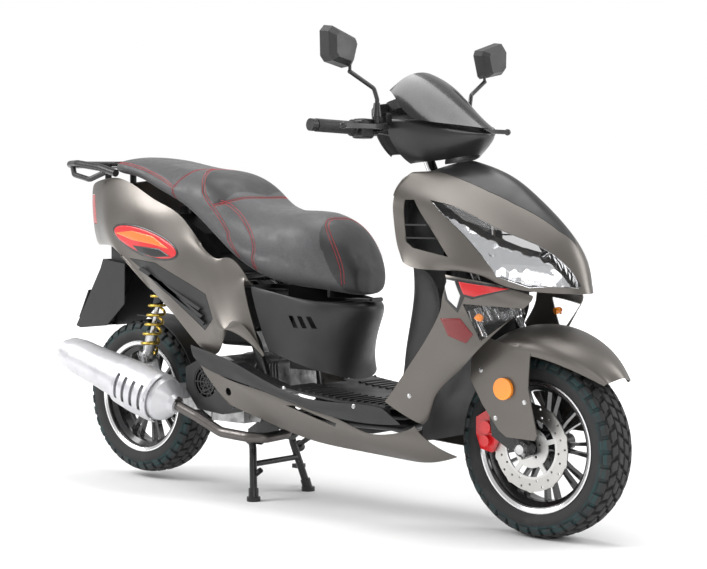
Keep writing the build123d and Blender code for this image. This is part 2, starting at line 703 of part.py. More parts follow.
# ---------------------------------------------------------------- rear body
SIDE_ROWS = [
    [(-110, -152, 606), (-225, -160, 669), (-320, -162, 742), (-430, -158, 813),
     (-540, -150, 856), (-650, -138, 893), (-790, -92, 886), (-890, 0, 868)],
    [(-118, -164, 588), (-250, -174, 634), (-362, -176, 701), (-470, -174, 748),
     (-584, -167, 794), (-690, -148, 828), (-802, -95, 850), (-907, 0, 840)],
    [(-85, -168, 500), (-240, -180, 545), (-370, -182, 615), (-490, -178, 675), (-600, -168, 728),
     (-700, -150, 765), (-803, -92, 775), (-905, 0, 768)],
    [(-46, -164, 416), (-200, -172, 428), (-316, -174, 450), (-425, -172, 536),
     (-535, -168, 612), (-646, -157, 684), (-772, -88, 697), (-872, 0, 694)],
]
INSERT = [(-581, -172, 663), (-453, -172, 653), (-323, -172, 600), (-254, -172, 571),
          (-222, -172, 505), (-262, -172, 470), (-390, -172, 560)]


def insert_tool(grow=0.0):
    return cutter(INSERT, Vector(0, 1, 0), 45, grow)


def tail_tool(grow=0.0):
    low = Vector(-960, -84 - grow, 758 - grow)
    return box(low, Vector(-800, 84 + grow, 846 + grow))


def rear_panels():
    """The tail shell cut into side panels, black side inserts and the tail light."""
    shell = skin([both_ways(row) for row in SIDE_ROWS])
    left_half = box((-1000, -0.5, 300), (0, 300, 1000))
    insert = piece(shell, insert_tool(-1))
    lamp = shell & tail_tool(-1)
    side = shell - left_half - insert_tool() - tail_tool()
    slats = []
    for n in range(3):
        bar = [(-520 + 40 * n, 632 - 18 * n), (-508 + 40 * n, 640 - 18 * n),
               (-268 + 8 * n, 532 - 20 * n), (-276 + 8 * n, 525 - 20 * n)]
        slats.append(prism(bar, -186, -178))
    return side, insert, lamp, slats


def under_seat_cover():
    rows = [both_ways([(-40, -148, 425), (60, -134, 392), (140, -88, 366), (168, 0, 352)]),
            both_ways([(-66, -152, 480), (60, -132, 472), (146, -86, 468), (181, 0, 466)]),
            both_ways([(-96, -152, 560), (70, -134, 535), (166, -86, 528), (208, 0, 526)]),
            both_ways([(-106, -148, 598), (20, -134, 574), (150, -84, 560), (189, 0, 560)])]
    shell = skin(rows)
    for n in range(3):
        x = 18 + 30 * n
        slot = cutter([(x, -130, 522), (x + 15, -126, 522), (x + 32, -126, 490), (x + 17, -130, 490)],
                      Vector(0.15, -1, 0), 30)
        shell -= slot
        shell -= mirrored(slot)
    return shell


GRAB_R = 11


def grab_rail():
    """Cast rail round the back of the seat with a handle at each side."""
    handle = pipe([(-660, -144, 908), (-735, -138, 925), (-850, -128, 938), (-925, -92, 937),
                   (-977, -40, 937)], GRAB_R, radius=26)
    lower = pipe([(-705, -138, 914), (-770, -150, 890), (-850, -140, 905), (-900, -105, 936)],
                 8, radius=24)
    back = rod((-977, -41, 937), (-977, 41, 937), GRAB_R)
    plate = slab([(-770, -60), (-770, 60), (-900, 70), (-958, 40), (-958, -40), (-900, -70)], 930, 938)
    plate += box((-800, -134, 930), (-776, 134, 938))
    post = rod((-800, -50, 880), (-800, -50, 932), 10)
    rail = handle + lower
    return rail + mirrored(rail) + back + plate + post + mirrored(post)


MUDGUARD = [(-704, 640), (-800, 652), (-812, 624), (-925, 446), (-905, 440), (-786, 452), (-706, 520)]


def rear_mudguard():
    """Deep black mudguard behind the wheel, open towards the tyre."""
    outer = prism(MUDGUARD, -74, 74)
    hollow = prism([(-690, 660), (-795, 660), (-806, 622), (-912, 452), (-905, 430), (-784, 430),
                    (-690, 500)], -71, 71)
    neck = box((-782, -56, 640), (-712, 56, 716)) - box((-779, -53, 630), (-709, 53, 720))
    plate = prism([(-925, 470), (-928, 472), (-884, 556), (-880, 554)], -60, 60)
    reflector = prism([(-905, 530), (-910, 532), (-896, 556), (-891, 554)], -22, 22)
    return [outer - hollow + neck, plate, reflector]


SEAT_HINGE_X, SEAT_HINGE_Z = 212, 566
HINGE_PIN_R = 3


def storage_bucket():
    """Tub under the seat, deep in front and shallow over the engine."""
    outer = box((-30, -78, 372), (128, 78, 560)) + box((-250, -86, 484), (-29, 86, 590))
    inner = box((-27, -75, 375), (125, 75, 600)) + box((-247, -83, 487), (-20, 75, 600))
    inner += box((-247, -83, 487), (-32, 83, 600))
    rim = box((-256, -94, 587), (-30, 94, 590)) - box((-247, -83, 580), (-20, 83, 600))
    tongue = box((124, -22, SEAT_HINGE_Z - 5), (SEAT_HINGE_X, 22, SEAT_HINGE_Z + 1))
    tongue += rod((SEAT_HINGE_X, -22, SEAT_HINGE_Z), (SEAT_HINGE_X, 22, SEAT_HINGE_Z), 6)
    tongue += box((124, -22, 540), (128, 22, SEAT_HINGE_Z - 4))
    tongue -= rod((SEAT_HINGE_X, -30, SEAT_HINGE_Z), (SEAT_HINGE_X, 30, SEAT_HINGE_Z), HINGE_PIN_R + 0.05)
    return outer - inner + rim + tongue


TANK_X0, TANK_X1 = -560, -300


def fuel_tank():
    body = prism([(-560, 640), (-300, 618), (-300, 680), (-360, 735), (-470, 790), (-560, 800)], -74, 74)
    body = fillet(body.edges().filter_by(Axis.Y), 10)
    neck = rod((-500, 0, 790), (-500, 0, 812), 30)
    return body + neck


def battery():
    case = box((118, -36, 212), (232, 36, 292))
    posts = [rod((136, y, 292), (136, y, 299), 6) for y in (-24, 24)]
    return case + posts


# ---------------------------------------------------------------- frame
RAIL_R = 15
SIDE_STAND_X, SIDE_STAND_Y, SIDE_STAND_Z = -52, 120, 196


def main_frame():
    head = rod(on_axis(HEAD_LOW_S), on_axis(HEAD_HIGH_S), HEAD_R)
    down = pipe([on_axis(600, ahead=-24), (470, 0, 640), (446, 0, 420), (425, 0, 268), (330, 0, 238)],
                18, radius=60)
    frame = head + down
    for side in (-1, 1):
        rail = pipe([(400, 0, 262), (380, side * 84, 250), (0, side * 92, 246), (-72, side * 94, 262),
                     (-124, side * 112, 440), (-250, side * 116, 600), (-470, side * 108, 700),
                     (-820, side * 52, 800)], RAIL_R, radius=(20, 60, 50, 60, 80, 90))
        frame += rail
    frame += rod((380, -84, 250), (380, 84, 250), 12)
    frame += rod((-20, -92, 246), (-20, 92, 246), 12)
    frame += rod((-268, -112, 609), (-268, 112, 609), 9)
    frame += rod((-700, -72, 768), (-700, 72, 768), 9)
    for side in (-1, 1):
        low, high = sorted((side * 62, side * 68))
        hanger = prism([(-40, 232), (-10, 258), (-60, 276), (-200, 190), (-196, 150), (-150, 150),
                        (-60, 216)], low, high)
        frame += hanger
        frame += rod((-30, side * 62, 246), (-30, side * 94, 246), 9)
        frame += rod((SHOCK_TOP.X, side * 86, SHOCK_TOP.Z), (SHOCK_TOP.X, side * 136, SHOCK_TOP.Z), 7)
        gusset = [(SHOCK_TOP.X - 22, 706), (SHOCK_TOP.X + 26, 706), (SHOCK_TOP.X + 11, SHOCK_TOP.Z - 10),
                  (SHOCK_TOP.X - 11, SHOCK_TOP.Z - 10)]
        frame += prism(gusset, *sorted((side * 84, side * 91)))
        frame += box((SHOCK_TOP.X - 18, *sorted((side * 84, side * 104))[:1], 692),
                     (SHOCK_TOP.X + 18, *sorted((side * 84, side * 104))[1:], 706))
    frame += prism([(-72, 252), (-32, 252), (-38, 182), (-66, 182)], 104, SIDE_STAND_Y - 5.3)
    frame += rod((SIDE_STAND_X, 106, SIDE_STAND_Z), (SIDE_STAND_X, SIDE_STAND_Y + 13, SIDE_STAND_Z), 6)
    frame -= rod(on_axis(HEAD_LOW_S - 60), on_axis(HEAD_HIGH_S + 60), STEM_R + 0.05)
    frame -= rod((STAND_X, -80, STAND_Z), (STAND_X, 80, STAND_Z), 7.05)
    frame -= rod((SWING_X, -80, SWING_Z), (SWING_X, 80, SWING_Z), 8.05)
    return frame


SHOCK_TOP = Vector(-487, 118, 612)
SHOCK_LOW = Vector(-560, 118, 366)
SHOCK_UP = (SHOCK_TOP - SHOCK_LOW).normalized()
SHOCK_LEN = (SHOCK_TOP - SHOCK_LOW).length


def shock_at(s, side=1):
    """Point a distance s up the shock absorber from its lower eye."""
    p = SHOCK_LOW + SHOCK_UP * s
    return Vector(p.X, side * p.Y, p.Z)


def shock_uppers():
    parts = []
    for side in (-1, 1):
        eye = rod(shock_at(SHOCK_LEN, side) - LEFT * 12, shock_at(SHOCK_LEN, side) + LEFT * 12, 14)
        can = rod(shock_at(SHOCK_LEN - 18, side), shock_at(SHOCK_LEN - 8, side), 26)
        body = rod(shock_at(SHOCK_LEN - 90, side), shock_at(SHOCK_LEN - 10, side), 15)
        upper = eye + can + body
        upper -= rod(shock_at(SHOCK_LEN - 91, side), shock_at(SHOCK_LEN - 16, side), 9.5)
        upper -= rod(shock_at(SHOCK_LEN, side) - LEFT * 20, shock_at(SHOCK_LEN, side) + LEFT * 20, 7.05)
        parts.append(upper)
    return parts


def shock_lowers():
    parts = []
    for side in (-1, 1):
        eye = rod(shock_at(0, side) - LEFT * 12, shock_at(0, side) + LEFT * 12, 14)
        cup = rod(shock_at(12, side), shock_at(24, side), 26)
        body = rod(shock_at(10, side), shock_at(85, side), 17)
        rod_ = rod(shock_at(80, side), shock_at(SHOCK_LEN - 82, side), 7)
        lower = eye + cup + body + rod_
        lower -= rod(shock_at(0, side) - LEFT * 20, shock_at(0, side) + LEFT * 20, 7.05)
        parts.append(lower)
    return parts


SPRING_R, SPRING_WIRE = 23, 4


def coil_spring(length, turns):
    """Coil made of tilted half rings, each of which starts along the end of the one below."""
    rise = length / turns / 2
    rings = []
    for n in range(2 * turns):
        side = 1 if n % 2 == 0 else -1
        start = Vector(side * SPRING_R, 0, n * rise)
        middle = Vector(0, 0, (n + 0.5) * rise)
        turning = Axis(middle, (start - middle).cross(Vector(0, side, 0)))
        section = Plane(origin=start, z_dir=(0, 1, 0)) * Circle(SPRING_WIRE)
        rings.append(revolve(section, turning, 180))
    coil = rings[0]
    for ring in rings[1:]:
        coil += ring
    return coil


def shock_springs():
    low, high = 26, SHOCK_LEN - 20
    coil = coil_spring(high - low - 2 * SPRING_WIRE, 7)
    return [Plane(origin=shock_at(low + SPRING_WIRE, side), z_dir=SHOCK_UP) * coil for side in (-1, 1)]


# ---------------------------------------------------------------- seat
SEAT_SECTIONS = [
    # x, half width, bottom, top
    (-742, 66, 908, 944), (-722, 94, 902, 951), (-640, 120, 890, 954), (-500, 139, 840, 931),
    (-400, 149, 797, 916), (-300, 156, 727, 902), (-230, 157, 672, 868), (-170, 156, 634, 826),
    (-110, 153, 608, 803), (-20, 148, 590, 797), (60, 138, 584, 789), (120, 118, 578, 760),
    (168, 92, 574, 708), (198, 60, 574, 652),
]


def seat_section(x, half, low, high):
    """Rounded section, flat beneath and crowned on top."""
    mid, rise = (low + high) / 2, (high - low) / 2
    points = []
    for n in range(16):
        t = 2 * pi * (n + 0.5) / 16
        c, s = cos(t), sin(t)
        points.append((x, half * (1 if c > 0 else -1) * abs(c) ** 0.75,
                       mid + rise * (1 if s > 0 else -1) * abs(s) ** 0.8))
    return make_face(Spline(*points, periodic=True))


def seat():
    """Cushion with the two ears and the pin of its front hinge."""
    cushion = loft([seat_section(*row) for row in SEAT_SECTIONS])
    hinge = rod((SEAT_HINGE_X, -30, SEAT_HINGE_Z), (SEAT_HINGE_X, 30, SEAT_HINGE_Z), HINGE_PIN_R)
    for side in (-1, 1):
        low, high = sorted((side * 23, side * 29))
        hinge += prism([(176, 580), (190, 598), (SEAT_HINGE_X + 4, 574), (SEAT_HINGE_X + 6, SEAT_HINGE_Z - 4),
                        (SEAT_HINGE_X - 6, SEAT_HINGE_Z - 4)], low, high)
    return [cushion, hinge - cushion]


# ---------------------------------------------------------------- stands
def centre_stand():
    """Two splayed legs with round feet, a cross tube and the rider's foot tang."""
    stand = rod((STAND_X, -90, STAND_Z), (STAND_X, 90, STAND_Z), 7)
    for side in (-1, 1):
        knee = (STAND_X + 8, side * 82, STAND_Z - 26)
        foot = (STAND_FOOT_X - 2, side * (STAND_FOOT_Y - 2), 14)
        stand += pipe([(STAND_X, side * 81, STAND_Z + 6), knee, foot], 10.5, radius=12)
        stand += rod((STAND_X, side * 69, STAND_Z), (STAND_X, side * 92, STAND_Z), 12.5)
        stand += rod((STAND_FOOT_X, side * STAND_FOOT_Y, 0), (STAND_FOOT_X, side * STAND_FOOT_Y, 12), 19)
        stand += rod((STAND_FOOT_X - 1, side * (STAND_FOOT_Y - 1), 8),
                     (STAND_FOOT_X - 6, side * (STAND_FOOT_Y - 6), 34), 14)
    stand += rod((STAND_X + 18, -90, 98), (STAND_X + 18, 90, 98), 8)
    stand += pipe([(STAND_FOOT_X - 8, 106, 46), (-180, 132, 52), (-214, 160, 58)], 7, radius=16)
    stand += box((-232, 148, 52), (-206, 178, 64))
    stand += rod((-150, -90, 70), (-128, -92, 84), 8)
    return stand


def side_stand():
    def across(y_low, y_high, r):
        return rod((SIDE_STAND_X, y_low, SIDE_STAND_Z), (SIDE_STAND_X, y_high, SIDE_STAND_Z), r)

    pivot = across(SIDE_STAND_Y - 5, SIDE_STAND_Y + 9, 14)
    leg = pipe([(SIDE_STAND_X - 10, SIDE_STAND_Y + 2, SIDE_STAND_Z - 4), (-130, 134, 162), (-205, 150, 122)],
               7.5, radius=40)
    foot = rod((-205, 146, 124), (-208, 158, 112), 15)
    stand = pivot + leg + foot
    stand -= across(SIDE_STAND_Y - 40, SIDE_STAND_Y + 20, 6.05)
    return stand - box((-80, 90, 150), (-20, SIDE_STAND_Y - 5, 270))


# ---------------------------------------------------------------- engine and swinging rear
MUFFLER_IN = Vector(-338, -206, 258)
MUFFLER_DIR = Vector(-0.966, 0, 0.259)
MUFFLER_PROFILE = [(0, 22), (14, 30), (46, 60), (70, 67), (150, 68), (240, 62), (330, 56), (425, 53),
                   (470, 46), (484, 34), (492, 34)]


def muffler_solid(grow=0.0, low=0.0, high=500.0):
    """Turned body of the silencer about its own axis, optionally grown and cut to length."""
    plane = Plane(origin=MUFFLER_IN, z_dir=MUFFLER_DIR)
    points = [(0, 0)] + [(r + grow, s) for s, r in MUFFLER_PROFILE] + [(0, MUFFLER_PROFILE[-1][0])]
    face = make_face(Polyline(*[(r, 0, s) for r, s in points], close=True))
    body = revolve(face, Axis.Z, 360)
    keep = Pos(0, 0, (low + high) / 2) * Box(300, 300, high - low)
    return plane * (body & keep)


def engine_case():
    """Crankcase with the transmission case down the left side to the rear hub."""
    arm = prism([(-176, 300), (-210, 372), (-268, 398), (-345, 388), (-520, 335), (-640, 316),
                 (-716, 290), (-732, 246), (-712, 206), (-655, 186), (-520, 196), (-340, 240),
                 (-262, 256), (-200, 262)], 84, 136)
    arm = fillet(arm.edges().filter_by(Axis.Y), 12)
    block = rod((CRANK_X, -92, CRANK_Z), (CRANK_X, 84, CRANK_Z), 68)
    sump = box((-330, -80, 206), (-204, 84, 300))
    boss = prism([(-212, 240), (-190, 246), (SWING_X + 14, 236), (SWING_X + 14, 208), (SWING_X - 12, 206),
                  (-212, 214)], -58, 58)
    right_arm = prism([(-300, 262), (-330, 300), (-480, 300), (-600, 290), (-680, 272), (-688, 246),
                       (-676, 224), (-600, 218), (-480, 224), (-330, 236)], -84, -72)
    cross = prism([(-330, 215), (-330, 300), (-372, 290), (-372, 236)], -84, 84)
    case = arm + block + sump + boss + right_arm + cross
    for side in (-1, 1):
        low, high = sorted((side * 72, side * 91))
        lug = prism([(SHOCK_LOW.X - 40, 290), (SHOCK_LOW.X + 40, 290), (SHOCK_LOW.X + 16, 366),
                     (SHOCK_LOW.X, 380), (SHOCK_LOW.X - 16, 366)], *sorted((side * 84, side * 91)))
        case += lug
        case += box((SHOCK_LOW.X - 34, low, 276), (SHOCK_LOW.X + 34, high, 296))
        case += rod((SHOCK_LOW.X, side * 86, SHOCK_LOW.Z), (SHOCK_LOW.X, side * 134, SHOCK_LOW.Z), 7)
    case -= rod((REAR_X, -110, REAR_Z), (REAR_X, 86, REAR_Z), 8.55)
    case -= rod((CRANK_X, -93, CRANK_Z), (CRANK_X, -40, CRANK_Z), 12.05)
    pin = rod((SWING_X, -76, SWING_Z), (SWING_X, 76, SWING_Z), 8)
    return case + pin


def engine_head():
    """Finned cylinder and head, lying forward under the floor's back edge."""
    start = Vector(-197, 0, 330)
    along = Vector(1, 0, 0.1).normalized()
    barrel = rod(start, start + along * 130, 32)
    for n in range(8):
        plane = Plane(origin=start + along * (12 + 11 * n), x_dir=(0, 1, 0), z_dir=along)
        barrel += plane * extrude(RectangleRounded(104, 92, 14), 4)
    plane = Plane(origin=start + along * 102, x_dir=(0, 1, 0), z_dir=along)
    barrel += plane * extrude(RectangleRounded(106, 96, 16), 44)
    intake = pipe([(-110, 0, 375), (-110, 0, 412), (-150, 0, 432)], 13, radius=20)
    carburettor = box((-206, -26, 408), (-146, 26, 462)) + rod((-176, 0, 462), (-176, 0, 478), 20)
    return barrel + intake + carburettor


FAN_GRILLE_R = 46


def fan_cover():
    """Cooling shroud over the flywheel fan, with its round grille facing out."""
    outline = [(-348, 362), (-306, 382), (-232, 382), (-180, 360), (-158, 262), (-200, 240), (-300, 248),
               (-346, 300)]
    shell = prism(outline, -166, -93)
    centre_x = sum(x for x, _ in outline) / len(outline)
    centre_z = sum(z for _, z in outline) / len(outline)
    inner = [(centre_x + (x - centre_x) * 0.94, centre_z + (z - centre_z) * 0.93) for x, z in outline]
    shell -= prism(inner, -163, -92)
    shell -= rod((CRANK_X, -170, CRANK_Z), (CRANK_X, -160, CRANK_Z), FAN_GRILLE_R)
    for r in (44, 33, 22, 11):
        shell += rod((CRANK_X, -165, CRANK_Z), (CRANK_X, -162, CRANK_Z), r + 2, r - 2)
    for turn in (0, 60, 120):
        bar = Pos(CRANK_X, -163.5, CRANK_Z) * (Rot(0, turn, 0) * Box(2 * FAN_GRILLE_R + 2, 3, 4))
        shell += bar
    return shell


def cooling_fan():
    wheel = rod((CRANK_X, -128, CRANK_Z), (CRANK_X, -122, CRANK_Z), 50)
    wheel += rod((CRANK_X, -128, CRANK_Z), (CRANK_X, -42, CRANK_Z), 12)
    for n in range(14):
        vane = Box(20, 24, 2.5)
        wheel += Pos(CRANK_X, -139, CRANK_Z) * (Rot(0, 360 / 14 * n, 0) * (Pos(39, 0, 0) * vane))
    return wheel


def exhaust():
    """Header from under the head, round to the right, into the silencer."""
    entry = MUFFLER_IN - MUFFLER_DIR * 1
    header = pipe([(-82, -20, 287), (-82, -20, 222), (-60, -60, 188), (-56, -150, 186),
                   (-96, -176, 188), (-190, -184, 194), (-270, -198, 232),
                   entry + MUFFLER_DIR * 12], 14, radius=(24, 24, 24, 24, 60, 50))
    flange = rod((-82, -20, 288), (-82, -20, 282), 26)
    can = muffler_solid()
    bracket = prism([(-420, 262), (-470, 262), (-480, 300), (-430, 306)], -146, -84.1)
    tail = rod(MUFFLER_IN + MUFFLER_DIR * 480, MUFFLER_IN + MUFFLER_DIR * 500, 14, 10)
    return header + flange + can + bracket + tail


def muffler_shield():
    """Slotted cover standing off the outer side of the silencer."""
    outer = muffler_solid(8, 60, 215)
    inner = muffler_solid(5, 50, 230)
    plane = Plane(origin=MUFFLER_IN, x_dir=(0, -1, 0), z_dir=MUFFLER_DIR)
    keep = plane * (Pos(64, 10, 138) * Box(90, 190, 180))
    shield = (outer - inner) & keep
    for n in range(4):
        slot = plane * (Pos(70, 0, 84 + 34 * n) * Box(80, 74, 13))
        shield -= slot
    studs = [rod(plane.from_local_coords((r, 0, s)), plane.from_local_coords((r + 9, 0, s)), 6)
             for s, r in ((68, 67.4), (205, 65.3))]
    return [shield, studs]


def air_box():
    """Air filter housing over the transmission, and the small guard over the rear tyre."""
    box_part = fillet(box((-470, 88, 402), (-318, 150, 500)).edges(), 14)
    hose = pipe([(-330, 110, 455), (-290, 100, 452), (-262, 0, 436), (-206.5, 0, 436)], 16, radius=(30, 40))
    guard = lathe([(240, -52), (243, -52), (243, 52), (240, 52)], REAR_AXLE)
    wedge = prism([(REAR_X, REAR_Z), (REAR_X + 320, REAR_Z + 40), (REAR_X + 320, REAR_Z + 400),
                   (REAR_X - 20, REAR_Z + 400)], -60, 60)
    guard = guard & wedge
    return [box_part + hose, guard]


# ---------------------------------------------------------------- write the nodes
cowl, nose_centre, lamp_lenses, vent_slats = front_panels()
flank, indicator_lens = flank_panels()
side_panel, side_insert, tail_lens, insert_slats = rear_panels()

save("headset_cover", headset_cover())
save("windscreen", windscreen())
save("instrument_cluster", instrument_cluster())
save("front_cowl", cowl)
save("nose_panel", nose_centre, vent_slats, [mirrored(slat) for slat in vent_slats])
save("headlight_lenses", lamp_lenses)
save("headlight_reflectors", headlight_reflectors())
save("front_indicators", pair(indicator_lens), pair(indicator_bulb()))
save("aprons", pair(flank))
save("leg_shield", leg_shield(), front_vents())
save("ignition_key", ignition_lock())
save("floorboard", floorboard())
save("belly_panels", belly_panels())
save("under_seat_cover", under_seat_cover())
save("side_panels", pair(side_panel))
save("side_inserts", pair(side_insert), insert_slats, [mirrored(slat) for slat in insert_slats])
save("tail_light", tail_lens)
save("grab_rail", grab_rail())
save("rear_mudguard", rear_mudguard())
save("storage_bucket", storage_bucket())
save("fuel_tank", fuel_tank())
save("battery", battery())
save("main_frame", main_frame())
save("seat", seat())
save("centre_stand", centre_stand())
save("side_stand", side_stand())
save("shock_uppers", shock_uppers())
save("shock_lowers", shock_lowers())
save("shock_springs", shock_springs())
save("engine_case", engine_case())
save("engine_head", engine_head())
save("fan_cover", fan_cover())
save("cooling_fan", cooling_fan())
save("exhaust", exhaust())
save("muffler_shield", muffler_shield())
save("air_box", air_box())
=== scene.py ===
# Looks of the moped scooter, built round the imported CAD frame. Metres, +X forward, +Y to the rider's left, +Z up.
import random
from math import cos, exp, hypot, pi, radians, sin

import bmesh
import bpy
from mathutils import Matrix, Vector
from mathutils.bvhtree import BVHTree
from mathutils.kdtree import KDTree


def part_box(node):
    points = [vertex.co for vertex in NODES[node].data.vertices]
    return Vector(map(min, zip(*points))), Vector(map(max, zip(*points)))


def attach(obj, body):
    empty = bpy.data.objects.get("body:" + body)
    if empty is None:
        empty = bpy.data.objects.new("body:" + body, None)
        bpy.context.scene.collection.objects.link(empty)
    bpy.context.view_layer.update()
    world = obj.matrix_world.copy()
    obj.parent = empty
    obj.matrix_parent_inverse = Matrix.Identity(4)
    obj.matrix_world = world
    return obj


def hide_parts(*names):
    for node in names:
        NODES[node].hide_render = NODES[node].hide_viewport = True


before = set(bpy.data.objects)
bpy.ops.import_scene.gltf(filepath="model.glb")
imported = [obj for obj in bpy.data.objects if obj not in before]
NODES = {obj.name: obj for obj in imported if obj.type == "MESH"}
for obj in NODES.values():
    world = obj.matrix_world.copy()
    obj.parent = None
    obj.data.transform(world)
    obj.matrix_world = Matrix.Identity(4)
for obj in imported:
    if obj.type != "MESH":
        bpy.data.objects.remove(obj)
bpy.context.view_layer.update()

RNG = random.Random(7)


# ---------------------------------------------------------------- camera, light and floor
def look_along(obj, yaw, pitch):
    """Points a camera or lamp; yaw 0 looks along +Y and 90 along +X, in degrees."""
    y, p = radians(yaw), radians(pitch)
    way = Vector((sin(y) * cos(p), cos(y) * cos(p), sin(p)))
    obj.rotation_mode = "QUATERNION"
    obj.rotation_quaternion = way.to_track_quat("-Z", "Y")


def camera():
    data = bpy.data.cameras.new("camera")
    data.lens = 89.8
    data.sensor_width = 36
    data.shift_x, data.shift_y = 0.0027, -0.0061
    data.clip_end = 60
    cam = bpy.data.objects.new("camera", data)
    bpy.context.scene.collection.objects.link(cam)
    cam.location = (3.2355, -3.5939, 0.8517)
    look_along(cam, -40.874, -2.847)
    bpy.context.scene.camera = cam


def soft_box(name, spot, target, size, watts, tint=(1, 1, 1)):
    data = bpy.data.lights.new(name, "AREA")
    data.shape = "RECTANGLE"
    data.size, data.size_y = size
    data.energy = watts
    data.color = tint
    lamp = bpy.data.objects.new(name, data)
    bpy.context.scene.collection.objects.link(lamp)
    lamp.location = spot
    lamp.rotation_mode = "QUATERNION"
    lamp.rotation_quaternion = (Vector(target) - Vector(spot)).to_track_quat("-Z", "Y")


def studio():
    scene = bpy.context.scene
    scene.view_settings.view_transform = "Standard"
    world = bpy.data.worlds.new("studio")
    scene.world = world
    world.use_nodes = True
    tree = world.node_tree
    background = tree.nodes["Background"]
    background.inputs["Strength"].default_value = 0.62
    background.inputs["Color"].default_value = (1, 1, 1, 1)
    seen = tree.nodes.new("ShaderNodeBackground")
    seen.inputs["Color"].default_value = (1, 1, 1, 1)
    path = tree.nodes.new("ShaderNodeLightPath")
    mix = tree.nodes.new("ShaderNodeMixShader")
    tree.links.new(path.outputs["Is Camera Ray"], mix.inputs["Fac"])
    tree.links.new(background.outputs[0], mix.inputs[1])
    tree.links.new(seen.outputs[0], mix.inputs[2])
    tree.links.new(mix.outputs[0], tree.nodes["World Output"].inputs["Surface"])
    soft_box("key_rear_right", (-2.6, -2.6, 3.0), (-0.4, 0, 0.6), (2.2, 2.2), 150)
    soft_box("top", (0.2, 0.3, 3.4), (0.1, 0, 0.5), (3.0, 2.0), 70)
    soft_box("rim_front_left", (3.0, 2.4, 2.2), (0.5, 0, 0.7), (1.6, 2.4), 60)
    soft_box("fill_front", (3.4, -2.4, 1.6), (0.3, 0, 0.5), (2.0, 2.0), 22)
    bm = bmesh.new()
    bmesh.ops.create_grid(bm, x_segments=24, y_segments=24, size=14)
    mesh = bpy.data.meshes.new("floor")
    bm.to_mesh(mesh)
    floor = bpy.data.objects.new("floor", mesh)
    scene.collection.objects.link(floor)
    paper = Shade("floor_paper", (0.93, 0.93, 0.93), 0.75)
    paper.bump(paper.noise(90, 3), 0.02, 0.001)
    away = paper.add("ShaderNodeVectorMath", {0: paper.place}, operation="LENGTH").outputs["Value"]
    paper.bsdf.inputs["Emission Color"].default_value = (1, 1, 1, 1)
    paper.drive("Emission Strength", paper.step(away, 1.1, 4.2, 0.0, 0.75))
    mesh.materials.append(paper.mat)


# ---------------------------------------------------------------- materials
class Shade:
    """A Principled material that takes procedural layers one call at a time."""

    def __init__(self, name, colour, roughness, metallic=0.0, **sockets):
        self.mat = bpy.data.materials.new(name)
        self.mat.use_nodes = True
        self.tree = self.mat.node_tree
        self.bsdf = self.tree.nodes["Principled BSDF"]
        self.colour = colour
        self.roughness = roughness
        self.bsdf.inputs["Base Color"].default_value = (*colour, 1)
        self.bsdf.inputs["Roughness"].default_value = roughness
        self.bsdf.inputs["Metallic"].default_value = metallic
        for socket, value in sockets.items():
            self.bsdf.inputs[socket.replace("_", " ")].default_value = value
        self.place = self.tree.nodes.new("ShaderNodeTexCoord").outputs["Object"]
        self.painted = None

    def add(self, kind, inputs=(), **settings):
        """A node with its settings and inputs; an input is a value or another node's output."""
        node = self.tree.nodes.new(kind)
        for key, value in settings.items():
            setattr(node, key, value)
        for key, value in dict(inputs).items():
            if isinstance(value, bpy.types.NodeSocket):
                self.tree.links.new(value, node.inputs[key])
            else:
                node.inputs[key].default_value = value
        return node

    def math(self, operation, a, b=0.0):
        return self.add("ShaderNodeMath", {0: a, 1: b}, operation=operation).outputs[0]

    def noise(self, scale, detail=3.0, stretch=(1, 1, 1)):
        place = self.add("ShaderNodeMapping", {"Vector": self.place, "Scale": stretch}).outputs[0]
        inputs = {"Vector": place, "Scale": scale, "Detail": detail}
        return self.add("ShaderNodeTexNoise", inputs).outputs["Fac"]

    def cells(self, scale, feature="F1"):
        inputs = {"Vector": self.place, "Scale": scale}
        return self.add("ShaderNodeTexVoronoi", inputs, feature=feature).outputs["Distance"]

    def step(self, value, low, high, to_low=0.0, to_high=1.0):
        """Maps value from low..high to to_low..to_high, smoothly and clamped."""
        inputs = {"Value": value, "From Min": low, "From Max": high, "To Min": to_low, "To Max": to_high}
        return self.add("ShaderNodeMapRange", inputs, interpolation_type="SMOOTHSTEP").outputs[0]

    def axle_distance(self, centre):
        """Distance from a line along Y through centre."""
        near = self.add("ShaderNodeVectorMath", {0: self.place, 1: centre}, operation="SUBTRACT").outputs[0]
        flat = self.add("ShaderNodeVectorMath", {0: near, 1: (1, 0, 1)}, operation="MULTIPLY").outputs[0]
        return self.add("ShaderNodeVectorMath", {0: flat}, operation="LENGTH").outputs["Value"]

    def coordinate(self, axis):
        return self.add("ShaderNodeSeparateXYZ", {0: self.place}).outputs[axis]

    def paint(self, fac, colour):
        """Lays another colour over the base where fac is 1."""
        base = self.painted if self.painted else (*self.colour, 1)
        mix = self.add("ShaderNodeMix", {"Factor": fac, 6: base, 7: (*colour, 1)}, data_type="RGBA")
        self.painted = mix.outputs[2]
        self.tree.links.new(self.painted, self.bsdf.inputs["Base Color"])

    def drive(self, socket, value):
        self.tree.links.new(value, self.bsdf.inputs[socket])

    def bump(self, height, strength, distance):
        """Adds relief; distance is the real height in metres."""
        node = self.add("ShaderNodeBump", {"Height": height, "Strength": strength, "Distance": distance})
        before = self.bsdf.inputs["Normal"].links
        if before:
            self.tree.links.new(before[0].from_socket, node.inputs["Normal"])
        self.tree.links.new(node.outputs[0], self.bsdf.inputs["Normal"])


